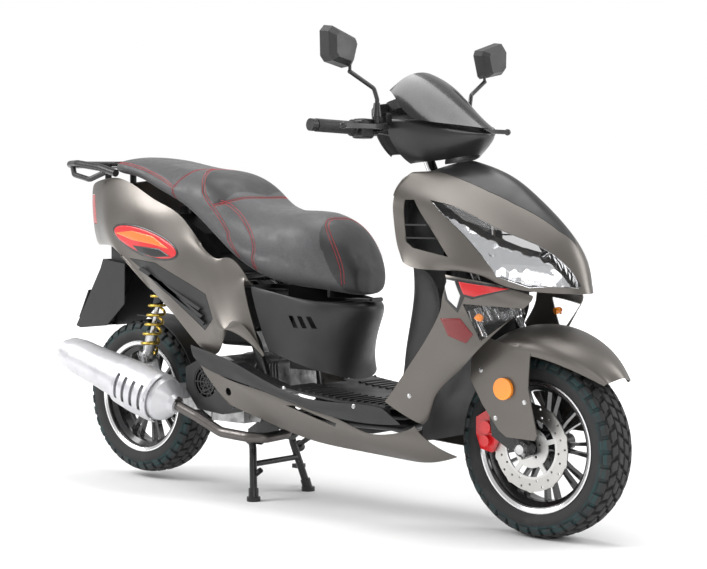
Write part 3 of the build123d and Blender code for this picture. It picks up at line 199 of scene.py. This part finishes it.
def satin_paint(name, colour, metallic=0.75, roughness=0.36):
    """Metallic satin lacquer: fine flake, faint haze and a little orange peel."""
    shade = Shade(name, colour, roughness, metallic, Coat_Weight=0.15, Coat_Roughness=0.3)
    flake = shade.cells(900)
    shade.paint(shade.step(flake, 0.1, 0.9, 0.0, 0.35), [c * 1.35 for c in colour])
    haze = shade.noise(7, 4)
    shade.drive("Roughness", shade.step(haze, 0.3, 0.7, roughness - 0.05, roughness + 0.07))
    shade.bump(shade.noise(420, 2), 0.12, 0.0003)
    return shade.mat


def moulded_plastic(name, colour=(0.013, 0.013, 0.014), roughness=0.44, grain=1400, relief=0.3):
    """Injection-moulded plastic with a fine spark-eroded grain and dusty patches."""
    shade = Shade(name, colour, roughness)
    shade.paint(shade.step(shade.noise(5, 5), 0.45, 0.8, 0.0, 0.5), [c * 1.5 for c in colour])
    shade.drive("Roughness", shade.step(shade.noise(14, 4), 0.3, 0.7, roughness - 0.07, roughness + 0.1))
    shade.bump(shade.noise(grain, 2), relief, 0.0002)
    return shade.mat


def gloss_plastic(name, colour, roughness=0.12, **sockets):
    shade = Shade(name, colour, roughness, Coat_Weight=0.4, Coat_Roughness=0.05, **sockets)
    shade.drive("Roughness", shade.step(shade.noise(30, 4), 0.35, 0.7, roughness, roughness + 0.1))
    shade.bump(shade.noise(160, 2), 0.06, 0.0003)
    return shade.mat


def metal(name, colour, roughness, stretch=(1, 1, 1), scale=60, relief=0.1, metallic=1.0):
    """Bare or plated metal; a stretched noise gives the direction of brushing."""
    shade = Shade(name, colour, roughness, metallic)
    grain = shade.noise(scale, 4, stretch)
    shade.drive("Roughness", shade.step(grain, 0.3, 0.7, roughness - 0.06, roughness + 0.12))
    shade.paint(shade.step(shade.noise(18, 5), 0.5, 0.8, 0.0, 0.5), [c * 0.72 for c in colour])
    shade.bump(grain, relief, 0.0003)
    return shade.mat


def cast_metal(name, colour, roughness=0.5, metallic=0.9):
    """Sand-cast or die-cast alloy, slightly dirty in random patches."""
    shade = Shade(name, colour, roughness, metallic)
    shade.paint(shade.step(shade.noise(22, 5), 0.42, 0.7), [c * 0.5 for c in colour])
    shade.drive("Roughness", shade.step(shade.noise(60, 4), 0.3, 0.7, roughness - 0.1, roughness + 0.15))
    shade.bump(shade.noise(520, 3), 0.35, 0.0004)
    return shade.mat


def tyre_rubber(name, centre):
    """Black rubber with moulding rings and two faint blue-green stripes on the sidewall."""
    shade = Shade(name, (0.02, 0.02, 0.021), 0.72)
    r = shade.axle_distance(centre)
    for middle in (0.198, 0.209):
        off = shade.math("ABSOLUTE", shade.math("SUBTRACT", r, middle))
        stripe = shade.step(off, 0.0035, 0.0048, 1, 0)
        worn = shade.math("MULTIPLY", stripe, shade.step(shade.noise(40, 5), 0.35, 0.6, 0.15, 0.8))
        shade.paint(worn, (0.012, 0.045, 0.047))
    shade.paint(shade.step(shade.noise(16, 5), 0.5, 0.75, 0.0, 0.55), (0.045, 0.043, 0.04))
    rings = shade.math("SINE", shade.math("MULTIPLY", r, 2 * pi / 0.0032))
    inner = shade.step(r, 0.188, 0.19, 1, 0)
    shade.bump(shade.math("MULTIPLY", rings, inner), 0.5, 0.0004)
    shade.bump(shade.noise(700, 3), 0.3, 0.0003)
    return shade.mat


RIM_LIP = 0.1535       # radius where the turned silver lip begins


def wheel_paint(name, centre):
    """Gloss black rim with a diamond-turned silver lip."""
    shade = Shade(name, (0.014, 0.014, 0.015), 0.22, 0.0, Coat_Weight=0.4, Coat_Roughness=0.08)
    r = shade.axle_distance(centre)
    lip = shade.step(r, RIM_LIP, RIM_LIP + 0.0006)
    shade.paint(lip, (0.72, 0.72, 0.73))
    shade.drive("Metallic", lip)
    grooves = shade.math("SINE", shade.math("MULTIPLY", r, 2 * pi / 0.0011))
    shade.bump(shade.math("MULTIPLY", grooves, lip), 0.25, 0.0001)
    shade.bump(shade.noise(300, 2), 0.08, 0.0003)
    return shade.mat


def brushed_disc(name, centre):
    """Brake disc: circular grinding marks and a darker swept band."""
    shade = Shade(name, (0.55, 0.54, 0.52), 0.3, 1.0)
    r = shade.axle_distance(centre)
    marks = shade.noise(1, 3)
    rings = shade.math("SINE", shade.math("MULTIPLY", r, 2 * pi / 0.0012))
    shade.paint(shade.step(r, 0.076, 0.08, 0.35, 0.0), (0.8, 0.8, 0.8))
    shade.drive("Roughness", shade.step(marks, 0.3, 0.7, 0.22, 0.38))
    shade.bump(rings, 0.3, 0.0001)
    return shade.mat


def vinyl(name, colour, weave):
    """Seat cover: woven-look embossed vinyl if weave is set, else a fine leather grain."""
    shade = Shade(name, colour, 0.5, 0.0, Sheen_Weight=0.12, Sheen_Roughness=0.4)
    shade.paint(shade.step(shade.noise(9, 5), 0.4, 0.75, 0.0, 0.6), [c * 1.3 for c in colour])
    if weave:
        speck = shade.cells(620, "F1")
        shade.paint(shade.step(speck, 0.2, 0.55, 0.75, 0.0), [c * 2.1 for c in colour])
        shade.bump(speck, 0.55, 0.0005)
    else:
        shade.bump(shade.cells(480, "DISTANCE_TO_EDGE"), 0.35, 0.0004)
    shade.bump(shade.noise(60, 4), 0.25, 0.0006)
    shade.drive("Roughness", shade.step(shade.noise(25, 4), 0.3, 0.7, 0.42, 0.6))
    return shade.mat


def clear_lens(name):
    """Clear moulded lamp cover, lightly fluted."""
    shade = Shade(name, (1, 1, 1), 0.02, 0.0, IOR=1.3, Transmission_Weight=1.0)
    shade.bump(shade.noise(9, 1), 0.05, 0.002)
    return shade.mat


def faceted_chrome(name, cell):
    """Bright lamp reflector broken into small facets."""
    shade = Shade(name, (0.7, 0.71, 0.73), 0.1, 1.0)
    shade.bump(shade.cells(cell), 0.4, 0.004)
    shade.bump(shade.noise(50, 2), 0.15, 0.002)
    return shade.mat


def dress(node, *materials, pick=None):
    """Gives a CAD node its materials; pick(centre of a face) says which one a face wears."""
    mesh = NODES[node].data
    mesh.materials.clear()
    for material in materials:
        mesh.materials.append(material)
    for face in mesh.polygons:
        face.material_index = pick(face.center) if pick else 0


# ---------------------------------------------------------------- building pieces
def piece(name, verts, faces, body, material, smooth=True):
    """A mesh object that rides on a body of the frame."""
    mesh = bpy.data.meshes.new(name)
    mesh.from_pydata([tuple(v) for v in verts], [], faces)
    mesh.update()
    for face in mesh.polygons:
        face.use_smooth = smooth
    for one in material if isinstance(material, (list, tuple)) else [material]:
        mesh.materials.append(one)
    obj = bpy.data.objects.new(name, mesh)
    bpy.context.scene.collection.objects.link(obj)
    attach(obj, body)
    return obj


def tidy_normals(obj):
    bm = bmesh.new()
    bm.from_mesh(obj.data)
    bmesh.ops.recalc_face_normals(bm, faces=bm.faces)
    bm.to_mesh(obj.data)
    bm.free()


def tree_of(obj):
    """Search tree over an object's faces, for finding the surface."""
    return BVHTree.FromPolygons([v.co.copy() for v in obj.data.vertices],
                                [tuple(p.vertices) for p in obj.data.polygons])


def smooth_path(points, steps=8, closed=False):
    """Catmull-Rom curve through points, a list of vectors."""
    points = [Vector(p) for p in points]
    count = len(points)
    out = []
    last = count if closed else count - 1
    for n in range(last):
        a = points[n - 1] if closed or n else points[0] * 2 - points[1]
        b, c = points[n], points[(n + 1) % count]
        d = points[(n + 2) % count] if closed or n + 2 < count else c * 2 - b
        for k in range(steps):
            t = k / steps
            out.append(0.5 * (2 * b + (c - a) * t + (2 * a - 5 * b + 4 * c - d) * t * t
                              + (3 * b - a - 3 * c + d) * t ** 3))
    if not closed:
        out.append(points[-1])
    return out


def resample(path, gap):
    """Points along a polyline at even spacing."""
    out, carry = [path[0].copy()], 0.0
    for a, b in zip(path, path[1:]):
        length = (b - a).length
        at = gap - carry
        while at <= length:
            out.append(a.lerp(b, at / length))
            at += gap
        carry = (carry + length) % gap
    return out


def bolt_mesh(spot, way, r, height, sides=6):
    """Flanged hexagon or round head standing on a surface; returns points and faces."""
    way = Vector(way).normalized()
    across = way.orthogonal().normalized()
    other = way.cross(across)
    rings = [(r * 1.35, 0.0, 24), (r * 1.35, height * 0.22, 24), (r * 1.02, height * 0.3, sides),
             (r, height * 0.85, sides), (r * 0.8, height, sides)]
    points, faces = [], []
    rows = []
    for radius, rise, _ in rings:
        row = []
        for k in range(24):
            angle = 2 * pi * k / 24
            if radius <= r * 1.02 and sides == 6:
                local = (angle % (pi / 3)) - pi / 6
                reach = radius * cos(pi / 6) / cos(local)
            else:
                reach = radius
            row.append(len(points))
            points.append(Vector(spot) + way * rise + across * (reach * cos(angle))
                          + other * (reach * sin(angle)))
        rows.append(row)
    for low, high in zip(rows, rows[1:]):
        for k in range(24):
            faces.append((low[k], low[(k + 1) % 24], high[(k + 1) % 24], high[k]))
    faces.append(tuple(rows[-1]))
    faces.append(tuple(reversed(rows[0])))
    return points, faces


def joined(parts):
    """Joins (points, faces) pairs into one."""
    points, faces = [], []
    for some_points, some_faces in parts:
        base = len(points)
        points += some_points
        faces += [tuple(base + i for i in face) for face in some_faces]
    return points, faces


def bolts(name, places, body, material, sides=6):
    """One piece of several bolt heads; places are (spot, way, radius, height)."""
    points, faces = joined([bolt_mesh(*place, sides=sides) for place in places])
    return piece(name, points, faces, body, material, smooth=False)


def both(places):
    """Places and their mirror images on the other side of the machine."""
    out = []
    for spot, way, *rest in places:
        for side in (1, -1):
            out.append(((spot[0], spot[1] * side, spot[2]), (way[0], way[1] * side, way[2]), *rest))
    return out


def on_panel(tree, x, z, side):
    """Where a line from the side at (x, z) meets a panel, with the outward normal there, or None."""
    spot, normal, _, _ = tree.ray_cast(Vector((x, side * 0.5, z)), Vector((0, -side, 0)), 0.5)
    if spot is None:
        return None
    return spot, normal if normal.y * side > 0 else -normal


def screws(name, node, places, body, material):
    """Round screw heads set square to a panel's surface at (x, z) on both sides."""
    tree = tree_of(NODES[node])
    found = [on_panel(tree, x, z, side) for x, z in places for side in (-1, 1)]
    heads = [(*hit, 0.0045, 0.0028) for hit in found if hit]
    bolts(name, heads, body, material, sides=24)


def film(name, outline, tree, body, material, side, lift):
    """Printed film pressed onto a panel; the outline is (x, z), and lift is its height off the paint."""
    bm = bmesh.new()
    bm.faces.new([bm.verts.new((x, 0, z)) for x, z in outline])
    for _ in range(6):
        bmesh.ops.triangulate(bm, faces=bm.faces)
        longest = [edge for edge in bm.edges if edge.calc_length() > 0.007]
        bmesh.ops.subdivide_edges(bm, edges=longest, cuts=1)
    bmesh.ops.triangulate(bm, faces=bm.faces)
    for v in list(bm.verts):
        hit = on_panel(tree, v.co.x, v.co.z, side)
        if hit:
            v.co = hit[0] + hit[1] * lift
        else:
            bm.verts.remove(v)
    bmesh.ops.recalc_face_normals(bm, faces=bm.faces)
    mesh = bpy.data.meshes.new(name)
    bm.to_mesh(mesh)
    bm.free()
    points = [v.co.copy() for v in mesh.vertices]
    obj = piece(name, points, [tuple(p.vertices) for p in mesh.polygons], body, material)
    solid = obj.modifiers.new("thickness", "SOLIDIFY")
    solid.thickness = 0.0003
    solid.offset = 0
    apply_modifiers(obj)
    return obj


def ellipse(centre, half_long, half_short, tilt, count=40):
    turn = radians(tilt)
    out = []
    for n in range(count):
        a, b = half_long * cos(2 * pi * n / count), half_short * sin(2 * pi * n / count)
        out.append((centre[0] + a * cos(turn) - b * sin(turn), centre[1] + a * sin(turn) + b * cos(turn)))
    return out


FENDER_SCREWS = [(0.645, 0.415), (0.690, 0.300), (0.776, 0.345)]
FLOOR_SCREWS = [(-0.126, 0.400), (0.050, 0.333), (0.300, 0.305)]
APRON_SCREWS = [(0.535, 0.500), (0.480, 0.345)]
TAIL_OVAL = (-0.508, 0.711)
TAIL_STREAK = [(-0.640, 0.735), (-0.560, 0.742), (-0.470, 0.728), (-0.400, 0.692), (-0.470, 0.705),
               (-0.560, 0.715)]
TAIL_BLADE = [(-0.560, 0.700), (-0.440, 0.693), (-0.392, 0.672), (-0.455, 0.668), (-0.530, 0.680)]
FLANK_EDGE = [(0.588, 0.648), (0.672, 0.637), (0.765, 0.621), (0.672, 0.594), (0.655, 0.600), (0.634, 0.560),
              (0.602, 0.590)]
FLANK_RED = [(0.640, 0.636), (0.672, 0.631), (0.745, 0.619), (0.676, 0.600), (0.652, 0.606)]
FLANK_WHITE = [(0.597, 0.642), (0.630, 0.637), (0.644, 0.602), (0.632, 0.572), (0.610, 0.592)]
FLANK_BLOCK = [(0.586, 0.545), (0.640, 0.547), (0.672, 0.508), (0.655, 0.486), (0.606, 0.503)]


def films():
    red = gloss_plastic("film_red", (0.55, 0.012, 0.016), 0.3)
    dark_red = gloss_plastic("film_dark_red", (0.16, 0.006, 0.008), 0.3)
    orange = gloss_plastic("film_orange", (0.75, 0.16, 0.02), 0.3)
    white = gloss_plastic("film_white", (0.75, 0.75, 0.75), 0.3)
    black = gloss_plastic("film_black", (0.01, 0.01, 0.011), 0.3)
    tail = tree_of(NODES["side_panels"])
    flank = tree_of(NODES["aprons"])
    sheets = [("tail_oval", ellipse(TAIL_OVAL, 0.149, 0.040, -13), tail, black),
              ("tail_red", ellipse(TAIL_OVAL, 0.141, 0.034, -13), tail, red),
              ("tail_streak", TAIL_STREAK, tail, orange), ("tail_blade", TAIL_BLADE, tail, black),
              ("flank_edge", FLANK_EDGE, flank, black), ("flank_red", FLANK_RED, flank, red),
              ("flank_white", FLANK_WHITE, flank, white), ("flank_block", FLANK_BLOCK, flank, dark_red)]
    layer = {"tail_red": 1, "flank_red": 1, "flank_white": 1, "tail_streak": 2, "tail_blade": 2}
    for name, outline, tree, material in sheets:
        for side, word in ((-1, "right"), (1, "left")):
            lift = 0.0005 + 0.0005 * layer.get(name, 0)
            film(f"{name}_{word}", outline, tree, "chassis", material, side, lift)


# ---------------------------------------------------------------- tyres
TYRE_ENVELOPE = [(0.155, 0.046), (0.1655, 0.0465), (0.173, 0.055), (0.195, 0.0598), (0.206, 0.0575),
                 (0.215, 0.052), (0.222, 0.043), (0.2262, 0.030), (0.228, 0.015), (0.228, 0.0)]
TREAD_DEPTH = 0.0075
BLOCK_PITCHES = 38


def envelope_at(u):
    """(radius, y) on the outer profile; u runs from 0 at the middle to 1 at the sidewall's widest."""
    line = [Vector((r, y, 0)) for r, y in reversed(TYRE_ENVELOPE[3:])]
    lengths = [0.0]
    for a, b in zip(line, line[1:]):
        lengths.append(lengths[-1] + (b - a).length)
    at = u * lengths[-1]
    for n in range(len(line) - 1):
        if at <= lengths[n + 1] or n == len(line) - 2:
            p = line[n].lerp(line[n + 1], (at - lengths[n]) / (lengths[n + 1] - lengths[n]))
            return p.x, p.y


def tread_point(centre, angle, u, sunk):
    """Point on the tread; u is negative on the right side, sunk is the depth below the envelope."""
    r, y = envelope_at(min(1.0, abs(u)))
    slope = min(1.0, abs(u)) ** 2
    r -= sunk * (1 - 0.5 * slope)
    y -= sunk * 0.8 * slope
    return Vector((centre[0] + r * sin(angle), y * (1 if u >= 0 else -1), centre[2] + r * cos(angle)))


def tread_block(centre, angle, width, u_low, u_high, skew):
    """One rubber block with sloping sides, standing on the carcass."""
    grid = 4
    rows = []
    for level, inset in ((TREAD_DEPTH * 1.3, -0.06), (0.0009, 0.02), (0.0, 0.10)):
        row = []
        for i in range(grid + 1):
            for j in range(grid + 1):
                a, b = i / grid, j / grid
                a = inset + a * (1 - 2 * inset)
                b = inset + b * (1 - 2 * inset)
                u = u_low + (u_high - u_low) * b
                turn = angle + width * (a - 0.5) + skew * (b - 0.5)
                row.append(tread_point(centre, turn, u, level))
        rows.append(row)
    points, faces = [], []
    size = grid + 1
    edge = [(i, 0) for i in range(grid)] + [(grid, j) for j in range(grid)]
    edge += [(i, grid) for i in range(grid, 0, -1)] + [(0, j) for j in range(grid, 0, -1)]
    loops = []
    for row in rows:
        loop = []
        for i, j in edge:
            loop.append(len(points))
            points.append(row[i * size + j])
        loops.append(loop)
    for low, high in zip(loops, loops[1:]):
        for k in range(len(edge)):
            n = (k + 1) % len(edge)
            faces.append((low[k], low[n], high[n], high[k]))
    base = len(points)
    points += rows[-1]
    for i in range(grid):
        for j in range(grid):
            a = base + i * size + j
            faces.append((a, a + 1, a + size + 1, a + size))
    return points, faces


def tyre(node, body, material):
    low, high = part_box(node)
    centre = (low + high) / 2
    profile = []
    for r, y in TYRE_ENVELOPE:
        sunk = TREAD_DEPTH if r > 0.2 else 0.0
        profile.append((r - sunk, y - (0.002 if r > 0.2 else 0.0)))
    inner = [(0.155, 0.037), (0.175, 0.046), (0.2, 0.05), (0.212, 0.03), (0.213, 0.0)]
    half = profile + []
    loop = half + [(r, -y) for r, y in reversed(half[:-1])]
    loop += [(r, -y) for r, y in inner] + [(r, y) for r, y in reversed(inner[:-1])]
    turns = 144
    points, faces = [], []
    for n in range(turns):
        angle = 2 * pi * n / turns
        points += [Vector((centre.x + r * sin(angle), y, centre.z + r * cos(angle))) for r, y in loop]
    count = len(loop)
    for n in range(turns):
        m = (n + 1) % turns
        for k in range(count):
            j = (k + 1) % count
            faces.append((n * count + k, n * count + j, m * count + j, m * count + k))
    blocks = [(points, faces)]
    pitch = 2 * pi / BLOCK_PITCHES
    for n in range(BLOCK_PITCHES):
        at = n * pitch
        for side in (-1, 1):
            stagger = at + (0.25 if side > 0 else -0.25) * pitch
            blocks.append(tread_block(centre, stagger, pitch * 0.74, side * 0.03, side * 0.27,
                                      side * pitch * 0.28))
            blocks.append(tread_block(centre, stagger + pitch * 0.5, pitch * 0.66, side * 0.31,
                                      side * 0.56, -side * pitch * 0.22))
            reach = 0.97 if n % 2 else 0.86
            blocks.append(tread_block(centre, stagger + pitch * 0.05, pitch * 0.72, side * 0.60,
                                      side * reach, 0.0))
    points, faces = joined(blocks)
    made = piece(node + "_treaded", points, faces, body, material)
    tidy_normals(made)
    made.data.shade_flat()
    for face in made.data.polygons[:turns * count]:
        face.use_smooth = True
    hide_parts(node)
    return made


# ---------------------------------------------------------------- seat
# Seam routes on the right half: places near the cover, which are then drawn onto it.
HUMP_SEAM = [(-0.372, 0.0, 0.915), (-0.365, -0.04, 0.91), (-0.340, -0.09, 0.90), (-0.312, -0.132, 0.878),
             (-0.290, -0.150, 0.845), (-0.234, -0.160, 0.788), (-0.203, -0.160, 0.745),
             (-0.183, -0.156, 0.705), (-0.165, -0.148, 0.655)]
BACKREST_SEAM = [(-0.180, 0.0, 0.835), (-0.190, -0.06, 0.832), (-0.222, -0.125, 0.826),
                 (-0.262, -0.152, 0.815)]
SECOND_SEAM = [(-0.240, -0.135, 0.828), (-0.205, -0.132, 0.822), (-0.165, -0.133, 0.796),
               (-0.126, -0.146, 0.756), (-0.105, -0.153, 0.710), (-0.110, -0.148, 0.655),
               (-0.120, -0.130, 0.622)]
NOSE_SEAM = [(0.085, 0.0, 0.780), (0.084, -0.04, 0.779), (0.100, -0.070, 0.763), (0.124, -0.085, 0.735),
             (0.150, -0.092, 0.700), (0.168, -0.090, 0.650), (0.165, -0.080, 0.600)]
PASSENGER_SEAM = [(-0.736, 0.0, 0.945), (-0.730, -0.06, 0.944), (-0.690, -0.096, 0.940),
                  (-0.580, -0.120, 0.928), (-0.500, -0.133, 0.905), (-0.424, -0.146, 0.872)]
TRANSVERSE_SEAM = [(-0.376, 0.0, 0.916), (-0.392, -0.068, 0.910), (-0.404, -0.112, 0.900),
                   (-0.421, -0.144, 0.874), (-0.428, -0.150, 0.835), (-0.432, -0.138, 0.806)]
DOUBLE_SEAMS = [HUMP_SEAM, SECOND_SEAM, NOSE_SEAM]
SINGLE_SEAMS = [BACKREST_SEAM, PASSENGER_SEAM, TRANSVERSE_SEAM]
SEAM_WIDTH, SEAM_DEPTH = 0.0045, 0.0022


def island_of(mesh):
    """The largest connected part of a mesh, as points and faces: the cushion without its hinge."""
    bm = bmesh.new()
    bm.from_mesh(mesh)
    bmesh.ops.remove_doubles(bm, verts=bm.verts, dist=1e-6)
    left = set(bm.verts)
    best = []
    while left:
        todo, found = [left.pop()], []
        while todo:
            v = todo.pop()
            found.append(v)
            for edge in v.link_edges:
                other = edge.other_vert(v)
                if other in left:
                    left.discard(other)
                    todo.append(other)
        best = max(best, found, key=len)
    keep = {v: n for n, v in enumerate(best)}
    points = [v.co.copy() for v in best]
    faces = [tuple(keep[v] for v in f.verts) for f in bm.faces if f.verts[0] in keep]
    bm.free()
    return points, faces


def apply_modifiers(obj):
    graph = bpy.context.evaluated_depsgraph_get()
    made = bpy.data.meshes.new_from_object(obj.evaluated_get(graph))
    obj.modifiers.clear()
    obj.data = made


def inflate(obj, frames, pressure, cap):
    """Swells a closed cushion as cloth, with its base held, and caps how far a point may go."""
    start = [v.co.copy() for v in obj.data.vertices]
    base = obj.vertex_groups.new(name="base")
    for v in obj.data.vertices:
        if v.normal.z < -0.35:
            base.add([v.index], 1.0, "REPLACE")
    cloth = obj.modifiers.new("cloth", "CLOTH")
    cloth.settings.use_pressure = True
    cloth.settings.uniform_pressure_force = pressure
    cloth.settings.effector_weights.gravity = 0
    cloth.settings.vertex_group_mass = "base"
    cloth.settings.tension_stiffness = 30
    cloth.settings.compression_stiffness = 30
    cloth.settings.bending_stiffness = 4
    cloth.point_cache.frame_start = 1
    cloth.point_cache.frame_end = frames
    scene = bpy.context.scene
    for n in range(1, frames + 1):
        scene.frame_set(n)
    apply_modifiers(obj)
    scene.frame_set(1)
    obj.vertex_groups.clear()
    for v, was in zip(obj.data.vertices, start):
        move = v.co - was
        if move.length > cap:
            v.co = was + move * (cap / move.length)


def on_surface(path, tree):
    out = []
    for p in path:
        spot, normal, _, _ = tree.find_nearest(p)
        out.append((spot, normal))
    return out


def seam_lines(tree):
    """Each seam drawn on the cover, right and left joined: (list of (spot, normal), double)."""
    lines = []
    for double, routes in ((True, DOUBLE_SEAMS), (False, SINGLE_SEAMS)):
        for route in routes:
            right = [Vector(p) for p in route]
            if abs(route[0][1]) < 1e-6:
                left = [Vector((p.x, -p.y, p.z)) for p in right[:0:-1]]
                paths = [left + right]
            else:
                paths = [right, [Vector((p.x, -p.y, p.z)) for p in right]]
            for path in paths:
                drawn = on_surface(smooth_path(path, 10), tree)
                even = resample([spot for spot, _ in drawn], 0.002)
                lines.append((on_surface(even, tree), double))
    return lines


def stitch_mesh(a, b, normal, r=0.0008):
    """One stitch: a short thread that dips into the cover at both ends."""
    along = (b - a).normalized()
    across = normal.cross(along).normalized()
    points, faces = [], []
    stops = [(0.0, -0.4), (0.15, 0.75), (0.5, 1.0), (0.85, 0.75), (1.0, -0.4)]
    for t, lift in stops:
        middle = a.lerp(b, t) + normal * (lift * r)
        for k in range(6):
            angle = 2 * pi * k / 6
            points.append(middle + across * (r * cos(angle)) + normal * (r * 0.8 * sin(angle)))
    for n in range(len(stops) - 1):
        for k in range(6):
            m = (k + 1) % 6
            faces.append((n * 6 + k, n * 6 + m, n * 6 + 6 + m, n * 6 + 6 + k))
    faces += [tuple(range(5, -1, -1)), tuple(range(len(points) - 6, len(points)))]
    return points, faces


def seat_cushion(covers, thread):
    points, faces = island_of(NODES["seat"].data)
    pad = piece("seat_cushion", points, faces, "seat", covers)
    pad.data.update()
    shrink = 0.004
    normals = [v.normal.copy() for v in pad.data.vertices]
    for v, normal in zip(pad.data.vertices, normals):
        v.co -= normal * shrink
    remesh = pad.modifiers.new("remesh", "REMESH")
    remesh.mode = "VOXEL"
    remesh.voxel_size = 0.0055
    soften = pad.modifiers.new("soften", "SMOOTH")
    soften.iterations = 12
    apply_modifiers(pad)
    inflate(pad, 20, 4.0, 0.009)
    finer = pad.modifiers.new("finer", "SUBSURF")
    finer.levels = finer.render_levels = 1
    apply_modifiers(pad)
    tree = tree_of(pad)
    lines = seam_lines(tree)
    spots = [(spot, double) for line, double in lines for spot, _ in line]
    near = KDTree(len(spots))
    for n, (spot, _) in enumerate(spots):
        near.insert(spot, n)
    near.balance()
    normals = [v.normal.copy() for v in pad.data.vertices]
    for v, normal in zip(pad.data.vertices, normals):
        _, _, gap = near.find(v.co)
        if gap < SEAM_WIDTH * 3:
            v.co -= normal * (SEAM_DEPTH * exp(-(gap / SEAM_WIDTH) ** 2))
    for face in pad.data.polygons:
        face.use_smooth = True
        face.material_index = cover_of(face.center)
    threads = []
    tree = tree_of(pad)
    for line, double in lines:
        for side in (-1, 1):
            row = []
            for n, (spot, normal) in enumerate(line):
                ahead = line[min(n + 1, len(line) - 1)][0] - line[max(n - 1, 0)][0]
                across = normal.cross(ahead)
                if across.length < 1e-9:
                    continue
                offset = (0.0038 if double else 0.0028) * side
                row.append(spot + across.normalized() * offset)
            stops = resample(row, 0.0065)
            for a, b in zip(stops, stops[1:]):
                end = a.lerp(b, 0.72)
                pa, na, _, _ = tree.find_nearest(a)
                pb, _, _, _ = tree.find_nearest(end)
                threads.append(stitch_mesh(pa, pb, na))
    points, faces = joined(threads)
    piece("seat_stitching", points, faces, "seat", thread)
    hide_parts("seat")
    return pad


def cover_of(p):
    """0 for the textured cover, 1 for the smooth dark panels: backrest and nose."""
    backrest = -0.36 + 0.6 * abs(p.y) ** 1.25 < p.x < -0.185 - 0.35 * abs(p.y) and abs(p.y) < 0.14
    nose = p.x > 0.085 + 0.9 * max(0.0, 0.78 - p.z) * (0.4 if p.z > 0.7 else 0.45)
    return 1 if (backrest and p.z > 0.82) or nose else 0


# ---------------------------------------------------------------- dress the frame
def main():
    studio()
    camera()
    front = sum(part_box("front_rim"), Vector()) / 2
    rear = sum(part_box("rear_tyre"), Vector()) / 2
    front.y = rear.y = 0
    grey = satin_paint("grey_paint", (0.128, 0.117, 0.106))
    black = moulded_plastic("black_plastic")
    frame_black = moulded_plastic("black_enamel", (0.012, 0.012, 0.013), 0.3, 260, 0.12)
    satin_black = moulded_plastic("satin_black", (0.014, 0.014, 0.015), 0.34, 900, 0.12)
    smoke = gloss_plastic("smoked_screen", (0.008, 0.008, 0.009), 0.2)
    alloy = cast_metal("cast_alloy", (0.5, 0.5, 0.5))
    steel = metal("machined_steel", (0.56, 0.56, 0.56), 0.3)
    chrome = metal("chrome", (0.82, 0.82, 0.83), 0.08, relief=0.02)
    dark_pipe = metal("header_pipe", (0.13, 0.12, 0.115), 0.38)
    silver_can = metal("silver_can", (0.58, 0.58, 0.6), 0.36, metallic=0.6)
    rubber = moulded_plastic("black_rubber", (0.016, 0.016, 0.016), 0.62, 500, 0.5)
    red = gloss_plastic("red_enamel", (0.62, 0.008, 0.012), 0.25)
    gold = metal("gold_spring", (0.56, 0.40, 0.08), 0.34)
    amber = gloss_plastic("amber_reflector", (0.95, 0.28, 0.01), 0.15)
    red_lens = gloss_plastic("red_lens", (0.45, 0.004, 0.006), 0.1)
    lens = clear_lens("clear_lens")
    reflector = faceted_chrome("lamp_reflector", 42)
    mirror = Shade("mirror_glass", (0.85, 0.86, 0.87), 0.02, 1.0).mat

    for node in ("front_cowl", "aprons", "belly_panels", "side_panels", "front_fender"):
        dress(node, grey)
    for node in ("floorboard", "leg_shield", "under_seat_cover", "side_inserts", "rear_mudguard",
                 "storage_bucket", "battery", "air_box", "fan_cover", "switch_pods", "turn_switch",
                 "horn_button"):
        dress(node, black)
    for node in ("headset_cover", "nose_panel"):
        dress(node, satin_black)
    for node in ("main_frame", "fuel_tank", "handlebar", "lever_perches", "brake_lever_right",
                 "brake_lever_left", "mirror_stem_right", "mirror_stem_left", "centre_stand",
                 "side_stand", "grab_rail", "shock_uppers"):
        dress(node, frame_black)
    for node in ("grip_left", "grip_throttle"):
        dress(node, rubber)
    dress("windscreen", smoke)
    dress("instrument_cluster", smoke)
    dress("engine_case", alloy)
    dress("engine_head", alloy)
    dress("cooling_fan", alloy)
    dress("shock_lowers", steel)
    dress("shock_springs", gold)
    dress("ignition_key", steel)
    dress("fork_yoke", chrome)
    dress("fork_sliders", frame_black, steel, pick=lambda p: int(hypot(p.x - front.x, p.z - front.z) < 0.0135))
    dress("brake_caliper", red)
    dress("fender_reflectors", amber)
    dress("tail_light", red_lens)
    dress("starter_button", red)
    dress("headlight_lenses", lens)
    dress("headlight_reflectors", reflector)
    bulb = Vector((0.679, 0.166, 0.549))
    dress("front_indicators", lens, amber,
          pick=lambda p: int((Vector((p.x, abs(p.y), p.z)) - bulb).length < 0.013))
    dress("front_brake_disc", brushed_disc("disc_steel", front))
    dress("front_rim", wheel_paint("front_wheel_paint", front))
    dress("rear_rim", wheel_paint("rear_wheel_paint", rear))
    can_start = -0.335
    dress("exhaust", dark_pipe, silver_can, pick=lambda p: int(p.x < can_start))
    dress("muffler_shield", silver_can)
    for side in ("right", "left"):
        glass_x = 0.3412
        dress("mirror_head_" + side, black, mirror, pick=lambda p: int(0.3402 < p.x < glass_x))

    tyre("front_tyre", "front_wheel", tyre_rubber("front_tyre_rubber", front))
    tyre("rear_tyre", "rear_wheel", tyre_rubber("rear_tyre_rubber", rear))
    films()
    screws("fender_screws", "front_fender", FENDER_SCREWS, "fork_lower", steel)
    screws("floor_screws", "floorboard", FLOOR_SCREWS, "chassis", steel)
    screws("apron_screws", "aprons", APRON_SCREWS, "chassis", steel)
    covers = [vinyl("vinyl_textured", (0.048, 0.048, 0.05), True),
              vinyl("vinyl_smooth", (0.02, 0.02, 0.021), False)]
    thread = gloss_plastic("red_thread", (0.5, 0.02, 0.03), 0.6)
    seat_cushion(covers, thread)


main()
